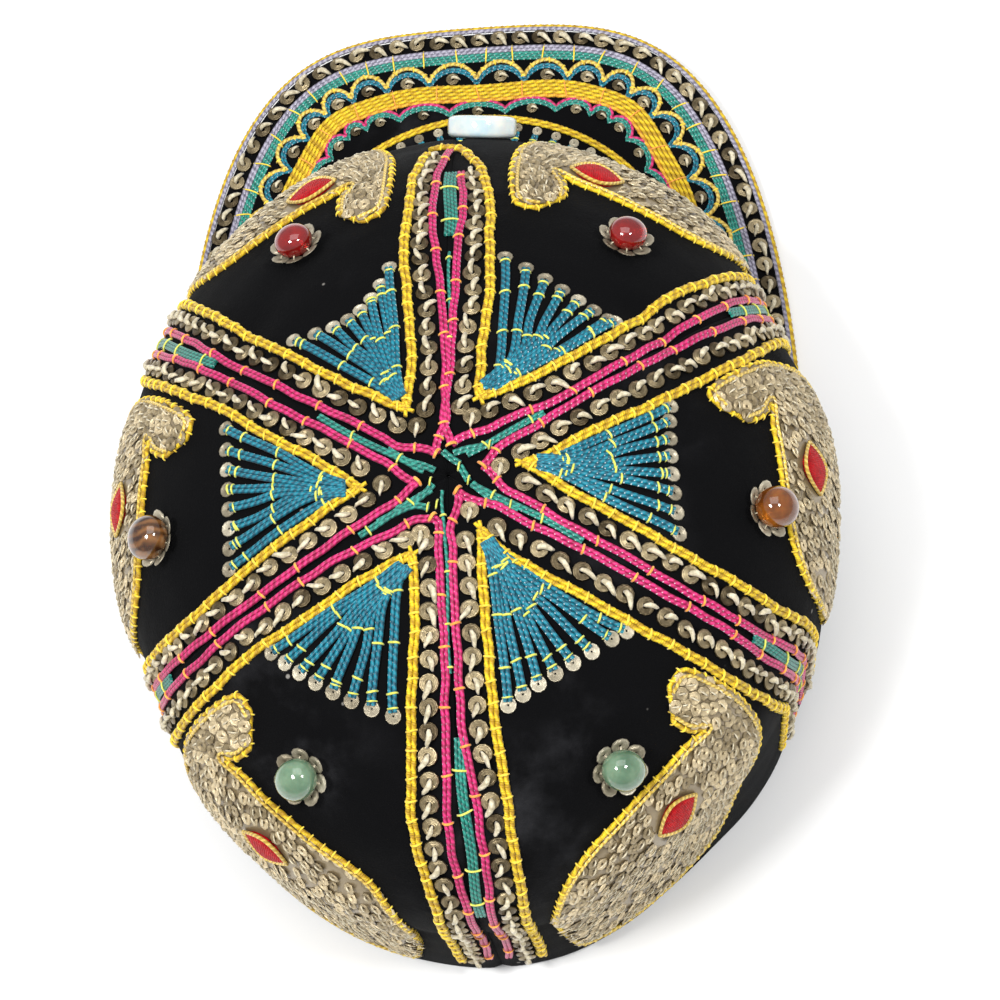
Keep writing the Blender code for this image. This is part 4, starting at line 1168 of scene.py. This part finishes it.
# Scrolls: a horn of cloth paved with sequins, outlined in yellow and gold. Each row crosses it from
# the lower edge to the upper edge: parts of the panel's width from the side nearer the front, and
# shares of the cap's height
scrollRows = [
    (0.285, 0.855, 0.35, 0.815),
    (0.215, 0.852, 0.335, 0.785),
    (0.18, 0.8, 0.305, 0.765),
    (0.17, 0.73, 0.3, 0.757),
    (0.18, 0.65, 0.315, 0.757),
    (0.22, 0.55, 0.37, 0.765),
    (0.3, 0.42, 0.45, 0.762),
    (0.4, 0.31, 0.54, 0.757),
    (0.5, 0.24, 0.62, 0.745),
    (0.6, 0.205, 0.7, 0.725),
    (0.7, 0.195, 0.765, 0.685),
    (0.765, 0.205, 0.81, 0.62),
    (0.81, 0.26, 0.835, 0.53),
    (0.84, 0.36, 0.848, 0.45),
]
scrollLook = dict(
    height=112.0, dropsFrom=0.45, drop=0.35, dropWide=0.2, frontLow=0.29,
    columns=17, pad=1.1, sequin=1.8, gap=2.3, tries=5000, stitched=0.75, inset=1.3, outline=0.62,
    gold=0.46, edge=2.4, sits=0.30, sway=1.1, lean=0.22, uneven=0.24,
    tieEvery=3.2, almond=6.8, almondHalf=6.3, almondTurn=0.26, almondSag=140.0)
# Where the red leaf sits on the front, side and back scrolls
leafPlaces = dict(front=(0.40, 0.715), side=(0.49, 0.652), back=(0.495, 0.63))


def scrollPiece(index):
    panel = panels[index]
    low, high = seams[index], seams[index + 1]

    def placeAt(part, share):
        bearing = low + (part if index < 3 else 1.0 - part) * (high - low)
        # the front scrolls stop above the peak and the back scrolls come further down
        if "front" in panel:
            share = max(share, scrollLook["frontLow"])
        if "back" in panel:
            t = min(max((scrollLook["dropsFrom"] - share) / scrollLook["dropWide"], 0.0), 1.0)
            share *= 1.0 - (1.0 - scrollLook["drop"]) * t * t * (3.0 - 2.0 * t)
        return bearing, fallAt(bearing, share * scrollLook["height"])

    fine = smooth([placeAt(*row[:2]) + placeAt(*row[2:]) for row in scrollRows], 0.6)
    count = len(fine)

    def onScroll(k, u, lift=0.0):
        # row k, and u from -1 at the lower edge to 1 at the upper edge
        k, u = np.clip(k, 0, count - 1), np.asarray(u, float)
        share = (u + 1.0) / 2.0
        row = np.stack([np.interp(k, np.arange(count), fine[:, c]) for c in range(4)], -1)
        at, outward = onCrown(row[..., 0] + (row[..., 2] - row[..., 0]) * share,
                              row[..., 1] + (row[..., 3] - row[..., 1]) * share)
        rise = scrollLook["pad"] * np.clip(1 - u ** 4, 0, 1) + lift
        return at + outward * rise[..., None], outward

    def edgesAt(rows, part=1.0, lift=0.0):
        return [onScroll(rows, part * side * np.ones(len(rows)), lift) for side in (-1.0, 1.0)]

    # the padded cloth
    grid = np.meshgrid(np.arange(count), np.linspace(-1.0, 1.0, scrollLook["columns"]), indexing="ij")
    top, outward = onScroll(*grid, 0.12)
    parts = [shellObject("base", top, top - outward * (scrollLook["pad"] + 0.3), scrollCloth)]

    # the red leaf's place, clear of sequins
    leafBearing, leafFall = placeAt(*leafPlaces[panel.split("_")[0]])
    middle, leafUp = onCrown(leafBearing, leafFall)
    forward = unit(onCrown(leafBearing + (1.0 if index < 3 else -1.0), leafFall)[0] - middle)
    downward = unit(onCrown(leafBearing, leafFall + 1.0)[0] - middle)
    turn = scrollLook["almondTurn"]
    leafAhead = forward * math.cos(turn) + downward * math.sin(turn)
    leafSide = np.cross(leafUp, leafAhead)

    # sequins scattered as close as they overlap in the photo
    ks = rng.random(scrollLook["tries"]) * (count - 1)
    lower, upper = edgesAt(ks)
    widths = np.linalg.norm(upper[0] - lower[0], axis=-1)
    us = (rng.random(len(ks)) * 2.0 - 1.0) * np.maximum(1.0 - scrollLook["edge"] / widths, 0.05)
    spots, facingUp = onScroll(ks, us, scrollLook["sits"])
    away = spots - middle
    inLeaf = (((away @ leafAhead) / (scrollLook["almond"] + 0.9)) ** 2
              + ((away @ leafSide) / (scrollLook["almondHalf"] + 1.2)) ** 2) < 1.0
    kept = []
    for k in np.flatnonzero(~inLeaf):
        if not kept or np.min(np.sum((spots[kept] - spots[k]) ** 2, -1)) > scrollLook["gap"] ** 2:
            kept.append(k)
    ks, us, spots, facingUp = ks[kept], us[kept], spots[kept], facingUp[kept]
    after, before = [onScroll(ks + way, us, scrollLook["sits"])[0] for way in (1.0, -1.0)]
    facing = unit(after - before)
    facing = facing + np.cross(facingUp, facing) * scatter(len(ks)) * scrollLook["sway"]
    up = unit(facingUp - facing * scrollLook["lean"]
              + (rng.random((len(ks), 3)) - 0.5) * scrollLook["uneven"])
    parts.append(sew(tinySequin, paleGold, spots, up, facing, scrollLook["sequin"]))
    some = rng.random(len(ks)) < scrollLook["stitched"]
    grow = np.ones((some.sum(), 1)) * np.array([[1.0, 0.85, 0.9]])
    grow[:, 0] = 0.7 + 0.6 * rng.random(some.sum())
    parts.append(sew(dashShape, creamThread, (spots + up * 0.3)[some], up[some], facing[some], 1.0, grow))

    # the outline and the gold cord inside it
    rows = np.arange(count)
    lower, upper = edgesAt(rows)
    outline = tuple(np.concatenate([a[::-1], b, a[-1:]]) for a, b in zip(lower, upper))
    parts.append(couch([outline], yellowRope, radius=scrollLook["outline"], sides=6, pitch=2.4, depth=0.10,
                       lift=0.5))
    widths = np.linalg.norm(upper[0] - lower[0], axis=-1)
    reach = 1.0 - np.minimum(2 * scrollLook["inset"] / widths, 0.9)
    parts.append(couch(edgesAt(rows, reach, 0.35), goldThread, radius=scrollLook["gold"], step=0.9,
                       sides=5))
    parts.append(ties([outline], yellowTie, every=scrollLook["tieEvery"], half=0.9, tall=1.15, thick=0.22))
    parts += almond(middle, leafUp, leafAhead, leafSide, scrollLook["pad"])
    joined("scroll_" + panel + "_embroidery", parts, "scroll_" + panel)


# A leaf of red satin stitch, raised, with gold cord round it
def almond(middle, up, along, across, lift):
    long, half = scrollLook["almond"], scrollLook["almondHalf"]
    count, columns = 40, 9
    t = np.linspace(-1.0, 1.0, count)
    width = half * np.maximum(1 - np.abs(t) ** 1.8, 0.02)
    u = np.linspace(-1.0, 1.0, columns)
    flat = middle + along * (t * long * 0.9)[:, None, None] + across * (width[:, None] * u)[..., None]
    rise = lift + 0.6 + 0.9 * np.sqrt(np.clip(1 - u ** 2, 0, 1)) * (width / half)[:, None]
    sag = ((t * long) ** 2)[:, None] / scrollLook["almondSag"]
    ridge = 0.07 * (np.arange(count) % 2)[:, None]
    top = flat + up * (rise - sag + ridge)[..., None]
    under = flat + up * (lift - 0.4 - sag * np.ones_like(u))[..., None]
    body = shellObject("leaf", top, under, redSatin)
    setNumbers(body.data, "along", np.tile(np.repeat(t * long * mm, columns), 2))
    turn = np.concatenate([np.linspace(-1.0, 1.0, 30), np.linspace(1.0, -1.0, 30)])
    wide = (half + 0.55) * np.maximum(1 - np.abs(turn) ** 1.8, 0.0) * np.repeat([1.0, -1.0], 30)
    outline = (middle + along * (turn * long * 0.98)[:, None] + across * wide[:, None]
               + up * (lift + 0.55 - (turn * long) ** 2 / scrollLook["almondSag"])[:, None])
    normals = np.tile(up, (len(outline), 1))
    return [body, couch([(outline, normals)], goldThread, radius=0.46, step=0.6, sides=6, lift=0.1)]


for index in range(6):
    scrollPiece(index)
print("scrolls made")


# Stone beads on rings of petals
stones = [
    dict(name="front_right", bearing=35.0, fall=0.418, radius=0.88, tall=0.72, slot="red_stone"),
    dict(name="front_left", bearing=330.0, fall=0.415, radius=0.88, tall=0.72, slot="red_stone"),
    dict(name="side_right", bearing=99.0, fall=0.441, radius=1.00, tall=0.92, slot="amber_stone"),
    dict(name="side_left", bearing=262.0, fall=0.429, radius=1.04, tall=0.84, slot="brown_stone"),
    dict(name="back_right", bearing=154.0, fall=0.441, radius=0.96, tall=0.84, slot="jade_stone"),
    dict(name="back_left", bearing=207.0, fall=0.430, radius=0.96, tall=0.84, slot="jade_stone"),
]
stoneLook = dict(size=5.0, petals=7, petal=2.2, ring=4.9, cup=0.45, sunk=1.5)
discLook = dict(bearing=3.0, radius=8.6, tall=2.9, full=0.35)


# Two directions across an outward one
def axesAcross(up):
    ahead = unit(np.cross(up, np.array([0.0, 1.0, 0.3])))
    return ahead, np.cross(up, ahead)


def middleOf(node):
    low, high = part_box(node)
    return np.array((low + high) / 2) / mm


# A squashed ball, its flat side across up and a little out of round
def beadMesh(name, centre, up, radius, tall, bumpy=0.04, full=0.95):
    rings, sides = 20, 40
    ahead, side = axesAcross(up)
    points, faces = [centre + up * tall], []
    for r in range(1, rings):
        polar = math.pi * r / rings
        for k in range(sides):
            t = 2 * math.pi * k / sides
            wave = 1 + bumpy * math.sin(2 * t + 1.0) * math.sin(polar) ** 2
            flat = radius * math.sin(polar) ** full * wave
            rise = tall * math.copysign(abs(math.cos(polar)) ** full, math.cos(polar))
            points.append(centre + (ahead * math.cos(t) + side * math.sin(t)) * flat + up * rise)
    points.append(centre - up * tall)
    for k in range(sides):
        after = (k + 1) % sides
        faces.append((0, 1 + k, 1 + after))
        for r in range(rings - 2):
            a, b = 1 + r * sides + k, 1 + r * sides + after
            faces.append((a, a + sides, b + sides, b))
        last = 1 + (rings - 2) * sides
        faces.append((last + k, len(points) - 1, last + after))
    return meshObject(name, points, faces)


def stonePieces(stone):
    middle = middleOf("stone_" + stone["name"])
    rim = fallAt(stone["bearing"], rimHeight(stone["bearing"]))
    up = onCrown(stone["bearing"], stone["fall"] * rim)[1]
    radius, tall = stoneLook["size"] * stone["radius"], stoneLook["size"] * stone["tall"]
    bead = beadMesh("bead", middle - up * stoneLook["sunk"], up, radius, tall)
    bead.data.materials.append(stoneLooks[stone["slot"]])
    joined("stone_bead_" + stone["name"], [bead], "stone_" + stone["name"])
    ground = middle - up * (tall + 0.7)
    ahead, side = axesAcross(up)
    turns = np.arange(stoneLook["petals"]) * 2 * math.pi / stoneLook["petals"] + 0.2
    outs = np.cos(turns)[:, None] * ahead + np.sin(turns)[:, None] * side
    at = ground + outs * stoneLook["ring"] + up * 0.75
    parts = [sew(flatSequin, pearly, at, up - outs * stoneLook["cup"], outs, stoneLook["petal"]),
             sew(dashShape, creamThread, at - outs * 0.9 + up * 0.35, np.tile(up, (len(at), 1)), outs, 0.8)]
    joined("petal_sequins_" + stone["name"], parts, "petals_" + stone["name"])


for stone in stones:
    stonePieces(stone)


def frontDisc():
    centre = middleOf("front_disc")
    up = onCrown(discLook["bearing"], fallAt(discLook["bearing"], centre[2]))[1]
    made = beadMesh("disc", centre, up, discLook["radius"], discLook["tall"], 0.0, discLook["full"])
    made.data.materials.append(stoneLooks["milky_stone"])
    joined("milky_disc", [made], "front_disc")


frontDisc()
print("stones made")


# The rows on the peak, from its edge inwards, each at its distance from the edge
rowLook = dict(arches=20, innerArches=15, rays=27, hub=-81.0, fanWide=50.0, fanDeep=43.5,
               rayReach=0.915, tipReach=0.945)
peakRows = dict(sequins=2.6, stripe=7.25, scallop=12.4, braid=18.7, innerScallop=22.6)


# A line along the peak at an inset from its edge, from one share of the edge's length to another
def peakLine(inset, ends, count=160, wave=None):
    shares = np.linspace(*ends, count)
    away = np.full(count, inset) + (wave(np.linspace(0.0, 1.0, count)) if wave else 0.0)
    return onPeak(shares, away)


# Arches, so many to the line, that stand up to deep on both sides of it
def scallopWave(deep, count):
    return lambda t: deep * (1 - 2 * np.abs(np.sin(math.pi * count * t)) ** 0.55)


# True where a place on the peak is clear of the crown's front wall
def pastCrown(way):
    wide, long = crown["halfWidth"] + 1.5, crown["frontLength"] + 1.5
    return (way[:, 0] / wide) ** 2 + (way[:, 1] / long) ** 2 > 1.0


# One sequin in each arch of a scalloped row
def archSequins(row, inset, ends, arches, size, thread):
    shares = ends[0] + (ends[1] - ends[0]) * (np.arange(arches) + 0.5) / arches
    at, outward = onPeak(shares, np.full(arches, peakRows[row] + inset), 0.3)
    return placedSequins(at, outward, np.gradient(at, axis=0), size, thread)


def peakPieces():
    edge = peakLine(-1.1, (0.002, 0.998))
    lower = (edge[0] - edge[1] * 0.9, edge[1])
    upper = peakLine(-0.1, (0.004, 0.996))
    parts = [couch([lower], yellowRope, radius=0.85, step=0.6, pitch=3.0, depth=0.12, lift=0.0),
             couch([upper], silverCord, radius=0.55, sides=6, lift=0.2)]
    joined("peak_edge_cords", parts, "peak_edge_cord")

    line = peakLine(peakRows["sequins"], (0.024, 0.976))
    joined("peak_sequins", sequins(line, spacing=5.5, radius=2.28), "peak_sequin_row")

    line = peakLine(peakRows["stripe"], (0.052, 0.948))
    parts = [couch([shifted(line, -1.35)], silverCord, strands=2, radius=0.48, sides=6),
             couch([shifted(line, 0.85)], greenCord, strands=3, radius=0.44, sides=6),
             ties([line], yellowTie, every=8.0, half=2.35, tall=1.0, thick=0.20)]
    joined("peak_stripe", parts, "peak_stripe_cord")

    arches = rowLook["arches"]
    outer = peakLine(peakRows["scallop"], (0.088, 0.912), 900, scallopWave(2.9, arches))
    inner = peakLine(peakRows["scallop"] + 1.4, (0.089, 0.911), 900, scallopWave(2.5, arches))
    parts = [couch([outer], goldThread, radius=0.56, step=0.6, sides=6),
             couch([inner], tealCord, strands=2, radius=0.40, step=0.6, sides=6),
             ties([outer], yellowTie, every=4.5, half=0.8, tall=1.0, thick=0.22)]
    parts += archSequins("scallop", 1.7, (0.088, 0.912), arches, 1.85, 1.7)
    joined("peak_scallops", parts, "peak_scallop_cord")

    line = peakLine(peakRows["braid"], (0.12, 0.88), 200, lambda t: 0.35 * np.sin(t * 40.0))
    rope = dict(radius=0.53, spread=1.09, step=0.6, depth=0.1)
    parts = [couch([shifted(line, -0.55)], yellowRope, strands=4, **rope),
             couch([shifted(line, 2.1)], orangeRope, **rope),
             ties([line], orangeTie, every=11.0, half=2.9, tall=1.1, thick=0.15)]
    joined("peak_braid", parts, "peak_yellow_braid")

    arches = rowLook["innerArches"]
    inner = peakLine(peakRows["innerScallop"] + 1.0, (0.14, 0.86), 700, scallopWave(1.5, arches))
    outer = peakLine(peakRows["innerScallop"], (0.14, 0.86), 700, scallopWave(1.7, arches))
    parts = [couch([inner], greenCord, strands=2, radius=0.40, step=0.6, sides=6),
             couch([outer], pinkCord, radius=0.46, step=0.6, sides=6)]
    parts += archSequins("innerScallop", 1.6, (0.14, 0.86), arches, 1.5, 1.3)
    joined("peak_inner_scallops", parts, "peak_inner_scallop_cord")

    # the middle fan: rays from under the crown's front to sequins inside a yellow arc
    hub = np.array([0.0, rowLook["hub"]])

    def fanReach(turns):
        return np.stack([np.cos(turns) * rowLook["fanWide"], -np.sin(turns) * rowLook["fanDeep"]], -1)

    lines, tips = [], []
    for reach in fanReach(np.radians(np.linspace(6.0, 174.0, rowLook["rays"]))):
        way = hub + np.linspace(0.0, rowLook["rayReach"], 60)[:, None] * reach
        if pastCrown(way).sum() > 8:
            lines.append(onPeakAt(*way[pastCrown(way)].T))
            tips.append(hub + rowLook["tipReach"] * reach)
    at, outward = onPeakAt(*np.array(tips).T, 0.25)
    curve = hub + fanReach(np.radians(np.linspace(0.0, 180.0, 120)))
    arc = onPeakAt(*curve[pastCrown(curve)].T)
    parts = [couch(lines, tealCord, strands=2, radius=0.46, sides=6),
             ties(lines, limeTie, every=5.0, half=1.0, tall=1.0, thick=0.22),
             sew(flatSequin, pearly, at, outward, np.gradient(at, axis=0), 1.35),
             couch([arc], yellowRope, strands=2, radius=0.50, step=0.6, depth=0.1)]
    joined("peak_fan_rays", parts, "peak_fan")


peakPieces()
print("peak rows made")

for shape in shapes:
    bpy.data.objects.remove(shape, do_unlink=True)
